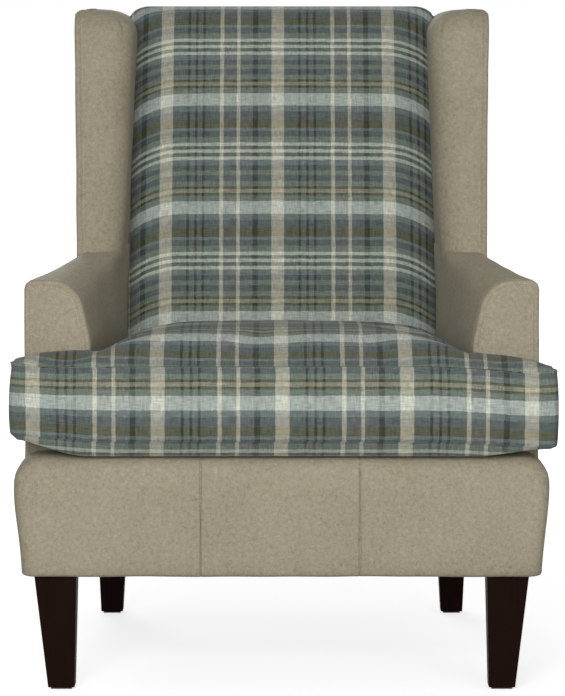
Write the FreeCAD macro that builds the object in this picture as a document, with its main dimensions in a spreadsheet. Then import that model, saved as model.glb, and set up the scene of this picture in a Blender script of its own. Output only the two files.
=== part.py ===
"""Fireside chair with wings: hardwood frame, leather shell, tight back and loose T cushion.

Millimetres, +Z up, the sitter faces -Y, +X is to the right as seen from the front.
The origin lies on the floor below the middle of the chair. Depths are measured from the
front seam of the cushion, and depth_datum carries them to Y.
"""
import FreeCAD, Part
import math
import os
import Sketcher
from FreeCAD import Vector

doc = FreeCAD.newDocument("FiresideChair")

# Driving dimensions
SIZES = (
    ("depth_datum", 412.5),
    ("skin", 2),
    ("box_floor", 169),
    ("frame_floor", 170),
    # front border under the cushion
    ("border_face", 12),
    ("border_back", 97),
    ("border_top", 348),
    ("border_half", 394),
    ("border_foot_half", 380),
    ("border_corner", 18),
    ("border_seam", 117),
    ("border_pad_thick", 10),
    # seat frame
    ("rail_thick", 25),
    ("rail_top", 322),
    ("front_rail_face", 24),
    ("front_rail_back", 46),
    ("front_rail_half", 366),
    ("side_rail_front", 336),
    ("side_rail_rear", 252),
    ("side_rail_end", 690),
    ("side_rail_top", 290),
    ("block_height", 60),
    ("block_reach", 85),
    ("block_edge", 15),
    # outer side of arms and wings, in plan
    ("side_front", 384),
    ("side_middle", 323),
    ("side_rear", 306.7),
    ("side_middle_depth", 400),
    ("side_rear_depth", 656),
    ("side_lean", 24),
    ("lean_base", 600),
    ("lean_height", 407),
    # rake of the outside back
    ("back_foot", 703),
    ("back_rake", 0.1503),
    ("outside_top", 1000),
    # arms
    ("facing_thick", 3),
    ("arm_base", 290),
    ("arm_front_top", 602),
    ("arm_front_inner", 283.5),
    ("arm_rear_inner", 250.5),
    ("arm_end_inner", 246.5),
    ("arm_rear_depth", 527),
    ("arm_end_depth", 790),
    ("arm_rear_top", 634),
    ("arm_round", 50),
    ("arm_batter", 20),
    ("arm_knee_drop", 92),
    # wings
    ("wing_base", 545),
    ("wing_front_low", 374),
    ("wing_front_slope", 0.359),
    ("wing_inner_low", 250),
    ("wing_inner_high", 238),
    ("wing_round", 38),
    ("wing_crest_round", 42),
    ("wing_foot_high", 720),
    ("wing_foot_lean", 0.09),
    ("wing_top", 1007),
    # tight back
    ("back_half", 249),
    ("back_edge_round", 32),
    ("back_seat_depth", 508),
    ("back_middle_depth", 556),
    ("back_middle_height", 640),
    ("back_sweep", 1100),
    ("back_roll", 62),
    ("back_crest_depth", 731),
    ("back_top", 1016),
    ("back_cloth", 1.5),
    ("web_foot_depth", 640),
    ("web_foot_height", 400),
    ("web_rake", 0.2222),
    ("web_thick", 2),
    ("web_width", 50),
    ("web_spacing", 140),
    ("web_short", 20),
    ("top_rail_low", 925),
    ("top_rail_high", 985),
    ("lower_rail_low", 350),
    # posts and rails of arms and wings
    ("post_inner", 262),
    ("post_wide", 28),
    ("post_deep", 32),
    ("post_gap", 4),
    ("arm_post_front", 101),
    ("arm_post_outer", 353),
    ("arm_rail_low", 564),
    ("arm_rail_high", 588),
    ("arm_rail_wing_outer", 315),
    ("wing_post_inner", 285),
    ("wing_post_cover", 14),
    ("wing_rail_low", 935),
    ("wing_rail_high", 960),
    ("tack_post_front", 640),
    # seat springs
    ("wire", 3.8),
    ("spring_half", 26),
    ("spring_step", 48),
    ("spring_spacing", 92),
    ("spring_count", 5),
    ("clip_wide", 70),
    ("clip_deep", 16),
    ("clip_thick", 3),
    ("clip_bridge", 4),
    ("spring_bearing", 18),
    # seat deck
    ("deck_top", 348),
    ("deck_cloth_thick", 1.5),
    # legs
    ("front_leg_inner", 303),
    ("front_leg_face", 30),
    ("front_leg_top", 62),
    ("front_leg_foot", 39),
    ("front_leg_draw", 3.5),
    ("rear_leg_inner", 256),
    ("rear_leg_top", 52),
    ("rear_leg_top_face", 652),
    ("rear_leg_foot", 36),
    ("rear_leg_foot_inner", 267),
    ("rear_leg_foot_face", 694),
    ("leg_chamfer", 1.5),
    ("glide_height", 3),
    ("glide_margin", 4),
    ("bolt_radius", 4),
    ("bolt_low", 120),
    ("bolt_high", 206),
    ("front_bolt_inset", 17),
    ("rear_bolt_inset", 16),
    ("bolt_depth_inset", 30),
    # cushion
    ("cushion_rest", 348.4),
    ("cushion_half", 400),
    ("cushion_ear_depth", 90),
    ("cushion_neck_half", 277),
    ("cushion_rear_half", 246),
    ("cushion_rear_depth", 504),
    ("cushion_low_seam", 372),
    ("cushion_high_seam", 485),
    ("cushion_crown", 526),
    ("cushion_bulge", 3),
    ("cushion_front_corner", 14),
    ("cushion_ear_corner", 12),
    ("cushion_neck_corner", 8),
    ("cushion_rear_corner", 28),
    ("cushion_wrap_thick", 22),
    ("zip_half", 190),
    ("zip_height", 428),
    ("zip_wide", 24),
    ("zip_tape_thick", 2),
    ("zip_coil_half", 2.5),
    ("zip_coil_thick", 1.2),
    ("slider_gap", 0.4),
    ("slider_long", 12),
    ("slider_wide", 9),
    ("slider_thick", 2),
    ("pull_long", 22),
)

sheet = doc.addObject("Spreadsheet::Sheet", "Sizes")
for row, (alias, number) in enumerate(SIZES, start=1):
    sheet.set(f"A{row}", alias)
    sheet.set(f"B{row}", str(number))
    sheet.setAlias(f"B{row}", alias)
doc.recompute()

WORDS = sorted((alias for alias, number in SIZES), key=len, reverse=True)
nodes = []


def size(alias):
    """The number in the sheet's cell of that name."""
    return float(getattr(sheet, alias))


def bound(text):
    """An expression in plain aliases, with each alias pointed at the sheet."""
    marks = {}
    for place, word in enumerate(WORDS):
        mark = f"<{place}>"
        if word in text:
            text = text.replace(word, mark)
            marks[mark] = f"Sizes.{word}"
    for mark, name in marks.items():
        text = text.replace(mark, name)
    return text


def at(x, depth, z):
    """A point of the chair from its width, its depth behind the front seam and its height."""
    return Vector(x, depth - size("depth_datum"), z)


def keep(label, made):
    """Marks an object as a sub-part and gives it the label that names its file."""
    made.Label = label
    nodes.append(made)
    return made


# Helpers for straight pieces


def outline_sketch(body, name, plane, outline, start):
    """A closed polygon sketch; each corner is two expressions in the sheet's aliases.

    On YZ_Plane a corner is (depth, height), on XY_Plane it is (width, depth), and start is
    the sketch's distance from that plane.
    """
    sketch = body.newObject("Sketcher::SketchObject", name)
    datum = next(f for f in body.Origin.OriginFeatures if f.Role == plane)
    sketch.AttachmentSupport = [(datum, "")]
    sketch.MapMode = "FlatFace"
    count = len(outline)
    ring = [
        Vector(500 + 100 * math.cos(turn), 500 + 100 * math.sin(turn), 0)
        for turn in (2 * math.pi * i / count for i in range(count))
    ]
    for i in range(count):
        sketch.addGeometry(Part.LineSegment(ring[i], ring[(i + 1) % count]))
    for i in range(count):
        sketch.addConstraint(Sketcher.Constraint("Coincident", i, 2, (i + 1) % count, 1))
    for i, (across, up) in enumerate(outline):
        for kind, text in (("DistanceX", across), ("DistanceY", up)):
            here = sketch.addConstraint(Sketcher.Constraint(kind, -1, 1, i, 1, 500))
            sketch.setExpression(f"Constraints[{here}]", bound(text))
    shift = "x" if plane == "YZ_Plane" else "y"
    sketch.setExpression(f".AttachmentOffset.Base.{shift}", bound("-depth_datum"))
    sketch.setExpression(".AttachmentOffset.Base.z", bound(start))
    return sketch


def outline_body(name, plane, outline, start, length, symmetric=False):
    """A body padded from a polygon, along +X from the YZ plane or up from the XY plane."""
    body = doc.addObject("PartDesign::Body", name)
    pad = body.newObject("PartDesign::Pad", name + "_pad")
    pad.Profile = outline_sketch(body, name + "_outline", plane, outline, start)
    pad.setExpression("Length", bound(length))
    pad.Midplane = symmetric
    doc.recompute()
    return body


def box(name, corner, extent):
    """A Part::Box; corner is (width, depth, height) and extent the three edge lengths."""
    made = doc.addObject("Part::Box", name)
    made.setExpression("Placement.Base.x", bound(corner[0]))
    made.setExpression("Placement.Base.y", bound(f"{corner[1]} - depth_datum"))
    made.setExpression("Placement.Base.z", bound(corner[2]))
    for edge, text in zip(("Length", "Width", "Height"), extent):
        made.setExpression(edge, bound(text))
    return made


def cylinder(name, centre, radius, height):
    made = doc.addObject("Part::Cylinder", name)
    made.setExpression("Placement.Base.x", bound(centre[0]))
    made.setExpression("Placement.Base.y", bound(f"{centre[1]} - depth_datum"))
    made.setExpression("Placement.Base.z", bound(centre[2]))
    made.setExpression("Radius", bound(radius))
    made.setExpression("Height", bound(height))
    return made


def cut(name, base, *tools):
    """base with every tool taken away from it."""
    for place, tool in enumerate(tools):
        last = place == len(tools) - 1
        made = doc.addObject("Part::Cut", name if last else f"{name}_step_{place}")
        made.Base = base
        made.Tool = tool
        base = made
    return base


def compound(name, pieces):
    made = doc.addObject("Part::Compound", name)
    made.Links = pieces
    return made


def mirrored(name, source):
    made = doc.addObject("Part::Mirroring", name)
    made.Source = source
    made.Base = (0, 0, 0)
    made.Normal = (1, 0, 0)
    return made


def both_sides(name, made):
    """Keeps a right-hand piece and its mirror image as right_NAME and left_NAME."""
    keep("right_" + name, made)
    keep("left_" + name, mirrored("left_" + name, made))


def feature(name, shape):
    made = doc.addObject("Part::Feature", name)
    made.Shape = shape
    made.Placement = FreeCAD.Placement()
    return made


# Helpers for upholstered forms


def rounded_wire(corners):
    """A closed flat wire through (point, radius) corners; radius 0 keeps the corner sharp."""
    count = len(corners)
    starts, ends, middles = [], [], []
    for i, (point, radius) in enumerate(corners):
        if radius <= 0:
            starts.append(point)
            ends.append(point)
            middles.append(None)
            continue
        back = (corners[i - 1][0] - point).normalize()
        ahead = (corners[(i + 1) % count][0] - point).normalize()
        half = back.getAngle(ahead) / 2
        reach = radius / math.tan(half)
        inward = (back + ahead).normalize()
        starts.append(point + back * reach)
        ends.append(point + ahead * reach)
        middles.append(point + inward * (radius / math.sin(half) - radius))
    edges = []
    for i in range(count):
        if middles[i] is not None:
            edges.append(Part.Arc(starts[i], middles[i], ends[i]).toShape())
        edges.append(Part.makeLine(ends[i], starts[(i + 1) % count]))
    return Part.Wire(edges)


def ruled_solid(wires):
    """A closed solid ruled from each wire to the next, its level faces true planes if they can."""
    loft = Part.makeLoft(wires, True, True)
    faces = []
    for face in loft.Faces:
        if face.Surface.isPlanar(0.001):
            first, last, low, high = face.ParameterRange
            outward = face.normalAt((first + last) / 2, (low + high) / 2)
            face = Part.Face(face.OuterWire)
            if face.normalAt(0, 0).dot(outward) < 0:
                face.reverse()
        faces.append(face)
    plain = Part.Solid(Part.Shell(faces))
    same = abs(plain.Volume - loft.Volume) < 1e-6 * loft.Volume
    return plain if same and plain.isValid() else loft


def depth_prism(outline, low, high):
    """A prism along X between low and high, over (depth, height) corners."""
    points = [at(low, depth, z) for depth, z in outline]
    face = Part.Face(Part.makePolygon(points + points[:1]))
    return face.extrude(Vector(high - low, 0, 0))


def back_plane(z):
    """Depth of the outside back at a height."""
    return size("back_foot") + size("back_rake") * (z - size("box_floor"))


def web_plane(z):
    """Depth of the front of the frame that carries the back webbing."""
    return size("web_foot_depth") + size("web_rake") * (z - size("web_foot_height"))


def wing_front(z):
    """Depth of the front edge of a wing."""
    return size("wing_front_low") + size("wing_front_slope") * (z - size("wing_base"))


def side_lean(z):
    """How far the wing leans out at a height."""
    rise = max(0.0, z - size("lean_base"))
    return size("side_lean") * rise / size("lean_height")


def side_volume(inset):
    """All that lies inside the outer side surface, less an inset, for the right-hand side.

    In plan the side is an arc, hollow to the outside, from the arm front to where it runs
    straight to the back; above lean_base the same line leans out.
    """
    front = size("border_back")
    far = size("arm_end_depth") + 150
    volumes = []
    for low, high, lean in (
        (size("box_floor") - 5, size("lean_base"), 0),
        (size("lean_base"), size("wing_top") + 20, size("side_lean")),
    ):
        arm_front = at(size("side_front") - inset, front, low)
        middle = at(size("side_middle") - inset, size("side_middle_depth"), low)
        rear = at(size("side_rear") - inset, size("side_rear_depth"), low)
        corners = [
            rear,
            at(rear.x, far, low),
            at(0, far, low),
            at(0, front, low),
            arm_front,
        ]
        lines = [Part.makeLine(a, b) for a, b in zip(corners, corners[1:])]
        wire = Part.Wire([Part.Arc(arm_front, middle, rear).toShape()] + lines)
        rise = high - low
        slant = Vector(lean * rise / size("lean_height"), 0, rise)
        volumes.append(Part.Face(wire).extrude(slant))
    return volumes[0].fuse(volumes[1])


inner_side = side_volume(size("skin"))
outer_side = side_volume(0)


# Legs


def leg(name, top, foot):
    """A square tapered leg; top and foot are each (inner side, face depth, width).

    The wedge tapers along its own Y, which is turned to point up; its Z then runs forward.
    """
    wedge = doc.addObject("Part::Wedge", name)
    wedge.Placement.Rotation = FreeCAD.Rotation(Vector(1, 0, 0), 90)
    for suffix, (inner, face, wide) in (("", foot), ("2", top)):
        low, high = ("Xmin", "Xmax") if not suffix else ("X2min", "X2max")
        wedge.setExpression(low, bound(inner))
        wedge.setExpression(high, bound(f"{inner} + {wide}"))
        low, high = ("Zmin", "Zmax") if not suffix else ("Z2min", "Z2max")
        wedge.setExpression(low, bound(f"depth_datum - {face} - {wide}"))
        wedge.setExpression(high, bound(f"depth_datum - {face}"))
    wedge.setExpression("Ymin", bound("glide_height"))
    wedge.setExpression("Ymax", bound("frame_floor"))
    doc.recompute()
    eased = doc.addObject("Part::Chamfer", name + "_eased")
    eased.Base = wedge
    ease = size("leg_chamfer")
    eased.Edges = [
        (i, ease, ease)
        for i, edge in enumerate(wedge.Shape.Edges, start=1)
        if edge.BoundBox.ZLength > size("frame_floor") / 2
    ]
    return eased


front_leg = leg(
    "front_leg_blank",
    ("front_leg_inner", "front_leg_face", "front_leg_top"),
    ("front_leg_inner + front_leg_draw", "front_leg_face", "front_leg_foot"),
)
rear_leg = leg(
    "rear_leg_blank",
    ("rear_leg_inner", "rear_leg_top_face", "rear_leg_top"),
    ("rear_leg_foot_inner", "rear_leg_foot_face", "rear_leg_foot"),
)

FRONT_BOLT = ("front_leg_inner + front_bolt_inset", "front_leg_face + bolt_depth_inset + 4")
REAR_BOLT = ("post_inner + rear_bolt_inset", "rear_leg_top_face + bolt_depth_inset")
leg_bolts = []
for corner, (across, deep) in (("front", FRONT_BOLT), ("rear", REAR_BOLT)):
    bolt = cylinder(
        corner + "_bolt", (across, deep, "bolt_low"), "bolt_radius", "bolt_high - bolt_low"
    )
    leg_bolts.append(bolt)
    # a felt pad sits under the middle of the foot
    if corner == "front":
        foot = ("front_leg_inner + front_leg_draw", "front_leg_face", "front_leg_foot")
    else:
        foot = ("rear_leg_foot_inner", "rear_leg_foot_face", "rear_leg_foot")
    inner, face, wide = foot
    pad = box(
        corner + "_foot_pad",
        (f"{inner} + glide_margin", f"{face} + glide_margin", "0"),
        (f"{wide} - 2 * glide_margin", f"{wide} - 2 * glide_margin", "glide_height"),
    )
    keep(
        corner + "_foot_pads",
        compound(corner + "_foot_pads", [pad, mirrored(corner + "_foot_pad_left", pad)]),
    )
front_bolt, rear_bolt = leg_bolts
both_sides("front_leg", cut("front_leg_bored", front_leg, front_bolt))
both_sides("rear_leg", cut("rear_leg_bored", rear_leg, rear_bolt))
keep(
    "leg_bolts",
    compound("leg_bolts", leg_bolts + [mirrored(b.Name + "_left", b) for b in leg_bolts]),
)

# Seat frame

front_rail = keep(
    "front_seat_rail",
    box(
        "front_rail",
        ("-front_rail_half", "front_rail_face", "frame_floor"),
        ("2 * front_rail_half", "front_rail_back - front_rail_face", "rail_top - frame_floor"),
    ),
)

POST_REAR_LOW = "back_foot + back_rake * (frame_floor - box_floor) - post_gap"
POST_REAR_HIGH = "back_foot + back_rake * (top_rail_high - box_floor) - post_gap"
back_post_blank = outline_body(
    "back_post_blank",
    "YZ_Plane",
    (
        (POST_REAR_LOW + " - post_deep", "frame_floor"),
        (POST_REAR_LOW, "frame_floor"),
        (POST_REAR_HIGH, "top_rail_high"),
        (POST_REAR_HIGH + " - post_deep", "top_rail_high"),
    ),
    "post_inner",
    "post_wide",
)
back_post = cut("back_post", back_post_blank, rear_bolt)
both_sides("back_post", back_post)

# A side rail is a straight bar, set over towards the back as the chair narrows.
SIDE_STEP = "(side_rail_front - side_rail_rear) / (side_rail_end - front_rail_back)"
side_rail_blank = outline_body(
    "side_rail_blank",
    "XY_Plane",
    (
        ("side_rail_front", "front_rail_back"),
        ("side_rail_front + rail_thick", "front_rail_back"),
        ("side_rail_rear + rail_thick", "side_rail_end"),
        ("side_rail_rear", "side_rail_end"),
    ),
    "frame_floor",
    "side_rail_top - frame_floor",
)
both_sides("side_seat_rail", cut("side_rail", side_rail_blank, back_post_blank))


def between_posts(name, front_low, front_high, low, high, deep):
    """A rail from post to post; front_low and front_high are its front depths."""
    return outline_body(
        name,
        "YZ_Plane",
        (
            (front_low, low),
            (f"{front_low} + {deep}", low),
            (f"{front_high} + {deep}", high),
            (front_high, high),
        ),
        "0",
        "2 * post_inner",
        symmetric=True,
    )


BACK_RAIL_LOW = POST_REAR_LOW + " - rail_thick"
BACK_RAIL_HIGH = "back_foot + back_rake * (rail_top - box_floor) - post_gap - rail_thick"
back_rail = between_posts(
    "back_rail", BACK_RAIL_LOW, BACK_RAIL_HIGH, "frame_floor", "rail_top", "rail_thick"
)
keep("back_seat_rail", cut("back_rail_trimmed", back_rail, side_rail_blank,
                           mirrored("side_rail_blank_left", side_rail_blank)))

TOP_RAIL_LOW = "web_foot_depth + web_rake * (top_rail_low - web_foot_height)"
TOP_RAIL_HIGH = "web_foot_depth + web_rake * (top_rail_high - web_foot_height)"
keep(
    "back_top_rail",
    between_posts(
        "top_rail", TOP_RAIL_LOW, TOP_RAIL_HIGH, "top_rail_low", "top_rail_high", "rail_thick"
    ),
)
LOWER_RAIL_LOW = "web_foot_depth + web_rake * (lower_rail_low - web_foot_height)"
keep(
    "back_lower_rail",
    between_posts(
        "lower_rail",
        LOWER_RAIL_LOW,
        "web_foot_depth",
        "lower_rail_low",
        "web_foot_height",
        "rail_thick",
    ),
)


def block(name, depth, turn):
    """A glued corner block: a triangle with its long side towards the middle of the seat.

    It fits between the side rail and the front rail, or turned round, the back rail.
    """
    near = f"side_rail_front - {SIDE_STEP} * ({depth} - front_rail_back)"
    far = f"side_rail_front - {SIDE_STEP} * ({depth} + {turn} * block_reach - front_rail_back)"
    corners = (
        (near, depth),
        (far, f"{depth} + {turn} * block_reach"),
        (far + " - block_edge", f"{depth} + {turn} * block_reach"),
        (near + " - block_reach", f"{depth} + {turn} * block_edge"),
        (near + " - block_reach", depth),
    )
    return outline_body(name, "XY_Plane", corners, "frame_floor", "block_height")


front_block = cut(
    "front_block", block("front_block_blank", "front_rail_back", "1"), front_bolt
)
rear_block = cut(
    "rear_block", block("rear_block_blank", "back_foot - post_gap - rail_thick", "-1"), back_rail
)
keep(
    "corner_blocks",
    compound(
        "corner_blocks",
        [
            front_block,
            rear_block,
            mirrored("front_block_left", front_block),
            mirrored("rear_block_left", rear_block),
        ],
    ),
)

# Frames of arms and wings

both_sides(
    "arm_post",
    cut(
        "arm_post",
        box(
            "arm_post_blank",
            ("arm_post_outer - post_wide", "arm_post_front", "side_rail_top"),
            ("post_wide", "post_deep", "arm_rail_low - side_rail_top"),
        ),
    ),
)
ARM_STEP = "(arm_post_outer - arm_rail_wing_outer) / (side_middle_depth - arm_post_front)"
ARM_END = "arm_end_depth"
arm_rail_blank = outline_body(
    "arm_rail_blank",
    "XY_Plane",
    (
        ("arm_post_outer", "arm_post_front"),
        (f"arm_post_outer - {ARM_STEP} * ({ARM_END} - arm_post_front)", ARM_END),
        (f"arm_post_outer - rail_thick - {ARM_STEP} * ({ARM_END} - arm_post_front)", ARM_END),
        ("arm_post_outer - rail_thick", "arm_post_front"),
    ),
    "arm_rail_low",
    "arm_rail_high - arm_rail_low",
)
# the arm rail stops at the raked face of the back post
behind_posts = outline_body(
    "behind_posts",
    "YZ_Plane",
    (
        (POST_REAR_LOW + " - post_deep", "frame_floor"),
        (POST_REAR_LOW + " + 300", "frame_floor"),
        (POST_REAR_HIGH + " + 300", "top_rail_high"),
        (POST_REAR_HIGH + " - post_deep", "top_rail_high"),
    ),
    "200",
    "200",
)
arm_rail = cut("arm_rail", arm_rail_blank, behind_posts)
both_sides("arm_rail", arm_rail)

WING_FACE_LOW = "wing_front_low + wing_front_slope * (arm_rail_high - wing_base) + wing_post_cover"
WING_FACE_HIGH = (
    "wing_front_low + wing_front_slope * (wing_rail_high - wing_base) + wing_post_cover"
)
wing_post = outline_body(
    "wing_post",
    "YZ_Plane",
    (
        (WING_FACE_LOW, "arm_rail_high"),
        (WING_FACE_LOW + " + post_deep", "arm_rail_high"),
        (WING_FACE_HIGH + " + post_deep", "wing_rail_high"),
        (WING_FACE_HIGH, "wing_rail_high"),
    ),
    "wing_post_inner",
    "rail_thick",
)
both_sides("wing_post", wing_post)

wing_rail_blank = outline_body(
    "wing_rail_blank",
    "XY_Plane",
    (
        ("wing_post_inner", WING_FACE_HIGH),
        ("wing_post_inner + rail_thick", WING_FACE_HIGH),
        ("post_inner + rail_thick", "arm_end_depth"),
        ("post_inner", "arm_end_depth"),
    ),
    "wing_rail_low",
    "wing_rail_high - wing_rail_low",
)
wing_rail = cut("wing_rail", wing_rail_blank, wing_post, behind_posts)
both_sides("wing_rail", wing_rail)

tack_post = box(
    "tack_post",
    ("post_inner", "tack_post_front", "side_rail_top"),
    ("rail_thick", "rail_thick", "arm_rail_low - side_rail_top"),
)
both_sides("tacking_post", tack_post)
doc.recompute()

# Arms


def arm_run():
    """The direction in which the arm's section travels, per millimetre of depth."""
    run = size("arm_rear_depth") - size("arm_post_front")
    return Vector(
        (size("arm_rear_inner") - size("arm_front_inner")) / run,
        1,
        (size("arm_rear_top") - size("arm_front_top")) / run,
    )


def arm_corners(depth, inset):
    """Corners of the right arm's section at a depth, drawn in from the cover by inset."""
    step = arm_run() * (depth - size("arm_post_front"))
    inner = size("arm_front_inner") + step.x + inset
    top = size("arm_front_top") + step.z - inset
    outside = size("side_front") + 60
    low = size("arm_base") - 60
    return (
        (at(outside, depth, low), 0),
        (at(outside, depth, top), 0),
        (at(inner + size("arm_batter"), depth, top), size("arm_round") - inset),
        (at(inner, depth, top + inset - size("arm_knee_drop")), 0),
        (at(inner, depth, low), 0),
    )


def arm_bar(inset, front, rear):
    """The arm's section carried from front to rear, its shoulder a true round."""
    along = arm_run().normalize()
    lead = 40
    start = front - lead
    hub = at(0, start, size("arm_base"))
    corners = []
    for point, radius in arm_corners(start, inset):
        corners.append((point - along * (point - hub).dot(along), radius))
    bar = Part.Face(rounded_wire(corners)).extrude(along * (rear - front + 3 * lead))
    slab = Part.makeBox(1000, rear - front, 900, at(0, front, size("arm_base")))
    return bar.common(slab)


def arm_form(inset, front):
    """The upholstered arm from its facing to the outside back, up to the wing."""
    rear = size("arm_rear_depth")
    end = size("arm_end_depth")
    aft_step = Vector(size("arm_end_inner") - size("arm_rear_inner"), end - rear, 0)
    aft = Part.Face(rounded_wire(arm_corners(rear, inset))).extrude(aft_step)
    aft = aft.common(Part.makeBox(1000, 600, 900, at(0, rear, size("arm_base"))))
    form = arm_bar(inset, front, rear).fuse(aft.cut(wing_space())).common(inner_side)
    return form.cut(wing_space()).cut(behind_back(size("skin"))).removeSplitter()


def wing_space():
    """The room behind the front edge of the wing, above its base, across the arm."""
    base = size("wing_base")
    high = size("wing_top") + 50
    far = size("arm_end_depth") + 100
    outline = ((wing_front(base), base), (far, base), (far, high), (wing_front(high), high))
    return depth_prism(outline, size("wing_inner_high") - 40, size("side_front") + 40)


def behind_back(gap):
    """Everything behind the plane of the outside back, less a gap."""
    low = size("box_floor") - 20
    high = size("back_top") + 40
    far = size("arm_end_depth") + 200
    outline = ((back_plane(low) - gap, low), (far, low), (far, high), (back_plane(high) - gap, high))
    return depth_prism(outline, -450, 450)


facing_front = size("border_back")
facing = arm_bar(0, facing_front, facing_front + size("facing_thick")).common(inner_side)
arm_start = size("border_back") + size("facing_thick")
arm_outer = arm_form(0, arm_start)
arm_filled = arm_form(size("skin"), arm_start)
wood = [arm_rail.Shape, tack_post.Shape, wing_post.Shape, wing_rail.Shape, back_post.Shape]
wood += [doc.getObject(name).Shape for name in ("arm_post_blank", "back_rail", "lower_rail", "top_rail")]


def without_wood(form):
    """A cover or a pad with its housings for the frame taken out."""
    for piece in wood:
        form = form.cut(piece)
    return form


both_sides("arm_facing", feature("arm_facing", facing))
both_sides("arm_cover", feature("arm_cover", without_wood(arm_outer.cut(arm_filled))))
both_sides("arm_pad", feature("arm_pad", without_wood(arm_filled)))

# Wings


def wing_bar(inset):
    """The wing's section, its inner front edge a true round, carried up along the raked edge."""
    low = size("wing_base") - 60
    high = size("wing_top") + 60
    rise = high - low
    lean_in = (size("wing_inner_high") - size("wing_inner_low")) / (size("wing_top") - size("wing_base"))
    climb = Vector(lean_in, size("wing_front_slope"), 1)
    along = Vector(climb).normalize()
    near = size("wing_inner_low") + lean_in * (low - size("wing_base")) + inset
    front = wing_front(low) + inset
    rear = size("arm_end_depth") + 80
    outside = size("side_front") + 20
    hub = at(near, front, low)
    corners = (
        (at(outside, front, low), 0),
        (at(outside, rear, low), 0),
        (at(near, rear, low), 0),
        (at(near, front, low), size("wing_round") - inset),
    )
    ring = [(point - along * (point - hub).dot(along), radius) for point, radius in corners]
    bar = Part.Face(rounded_wire(ring)).extrude(climb * (rise + 120))
    slab = Part.makeBox(1000, 1000, size("wing_top") - inset - size("wing_base"))
    slab.translate(at(0, 0, size("wing_base")))
    return bar.common(slab)


def wing_roof(inset):
    """All below the crest of the wing: one profile rounds its front and one its inner side."""
    low = size("wing_base") - 20
    top = size("wing_top") - inset
    rounding = size("wing_crest_round") - inset
    far = size("arm_end_depth") + 120
    half = size("side_front") + 40
    near = size("wing_inner_high") + inset
    front_profile = (
        (at(0, wing_front(low) + inset, low), 0),
        (at(0, wing_front(top) + inset, top), rounding),
        (at(0, far, top), 0),
        (at(0, far, low), 0),
    )
    side_profile = (
        (at(near, 0, low), 0),
        (at(near, 0, top), rounding),
        (at(half, 0, top), 0),
        (at(half, 0, low), 0),
    )
    front_part = Part.Face(rounded_wire(front_profile)).extrude(Vector(half, 0, 0))
    side_part = Part.Face(rounded_wire(side_profile)).extrude(Vector(0, far, 0))
    return front_part.common(side_part)


def wing_foot(inset):
    """What the wing gives up low down, so that its inner side runs on into the arm's."""
    low = size("wing_base") - 20
    knee = size("arm_front_top") - 42
    high = size("wing_foot_high")
    start = size("arm_post_front")
    inner = size("arm_front_inner") + inset
    profile = (
        (0, low),
        (inner, low),
        (inner, knee),
        (inner - size("wing_foot_lean") * (high - knee), high),
        (0, high),
    )
    points = [at(x, start, z) for x, z in profile]
    run = arm_run()
    along = Vector(run.x, 1, 0) * (size("arm_end_depth") + 60 - start)
    return Part.Face(Part.makePolygon(points + points[:1])).extrude(along)


def wing_form(inset):
    """The upholstered wing from the arm to its crest."""
    form = wing_bar(inset).common(wing_roof(inset)).cut(wing_foot(inset))
    return form.common(inner_side).cut(behind_back(size("skin"))).removeSplitter()


wing_outer = wing_form(0)
wing_filled = wing_form(size("skin"))
both_sides("wing_cover", feature("wing_cover", without_wood(wing_outer.cut(wing_filled))))
both_sides("wing_pad", feature("wing_pad", without_wood(wing_filled)))

# Outer sides, outside back and dust cover

side_shell = outer_side.cut(inner_side)
split = size("lean_base")
low = size("frame_floor")
outside_high = size("outside_top") - 5
arm_side = (
    (size("border_back"), low),
    (size("border_back"), size("arm_front_top") - 12),
    (wing_front(split), size("arm_rear_top") - 23),
    (wing_front(split), split),
    (back_plane(split) - size("skin"), split),
    (back_plane(low) - size("skin"), low),
)
wing_side = (
    (wing_front(split), split),
    (wing_front(outside_high), outside_high),
    (back_plane(outside_high) - size("skin"), outside_high),
    (back_plane(split) - size("skin"), split),
)
for label, outline in (("outside_arm", arm_side), ("outside_wing", wing_side)):
    shape = side_shell.common(depth_prism(outline, 250, 450))
    both_sides(label, feature(label, shape))

back_corners = []
for z in (size("frame_floor"), split, size("outside_top")):
    back_corners.append(at(size("side_rear") + side_lean(z), back_plane(z), z))
back_corners += [Vector(-p.x, p.y, p.z) for p in reversed(back_corners)]
outside_back = Part.Face(Part.makePolygon(back_corners + back_corners[:1]))
outside_back = outside_back.extrude(Vector(0, -size("skin"), 0))
keep("outside_back", feature("outside_back", outside_back))
doc.recompute()

# Tight back


def back_section(x, fall):
    """The upright section of the tight back at a width, its front and top drawn in by fall."""
    top = size("back_top") - fall
    rail = size("top_rail_high")
    low = size("deck_top")
    tuck = rail - size("web_short") + 1
    profile = (
        (size("back_seat_depth") + fall, low, 0),
        (size("back_middle_depth") + fall, size("back_middle_height"), size("back_sweep")),
        (size("back_crest_depth") + 0.6 * fall, top, size("back_roll")),
        (back_plane(top) - size("skin"), top, 0),
        (back_plane(tuck) - size("skin"), tuck, 0),
        (web_plane(tuck) - size("web_thick"), tuck, 0),
        (web_plane(low) - size("web_thick"), low, 0),
    )
    return rounded_wire([(at(x, depth, z), radius) for depth, z, radius in profile])


def back_form(inset):
    """The tight back: full between its edges, and rounded off towards the wings."""
    half = size("back_half") - inset
    rounding = size("back_edge_round")
    flat = half - rounding
    turns = [math.radians(turn) for turn in (90, 68, 45, 22, 0)]
    stops = [(flat + rounding * math.sin(t), rounding * (1 - math.cos(t))) for t in turns]
    sections = [(-x, fall) for x, fall in stops] + [(x, fall) for x, fall in reversed(stops)]
    return ruled_solid([back_section(x, fall + inset) for x, fall in sections])


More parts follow.
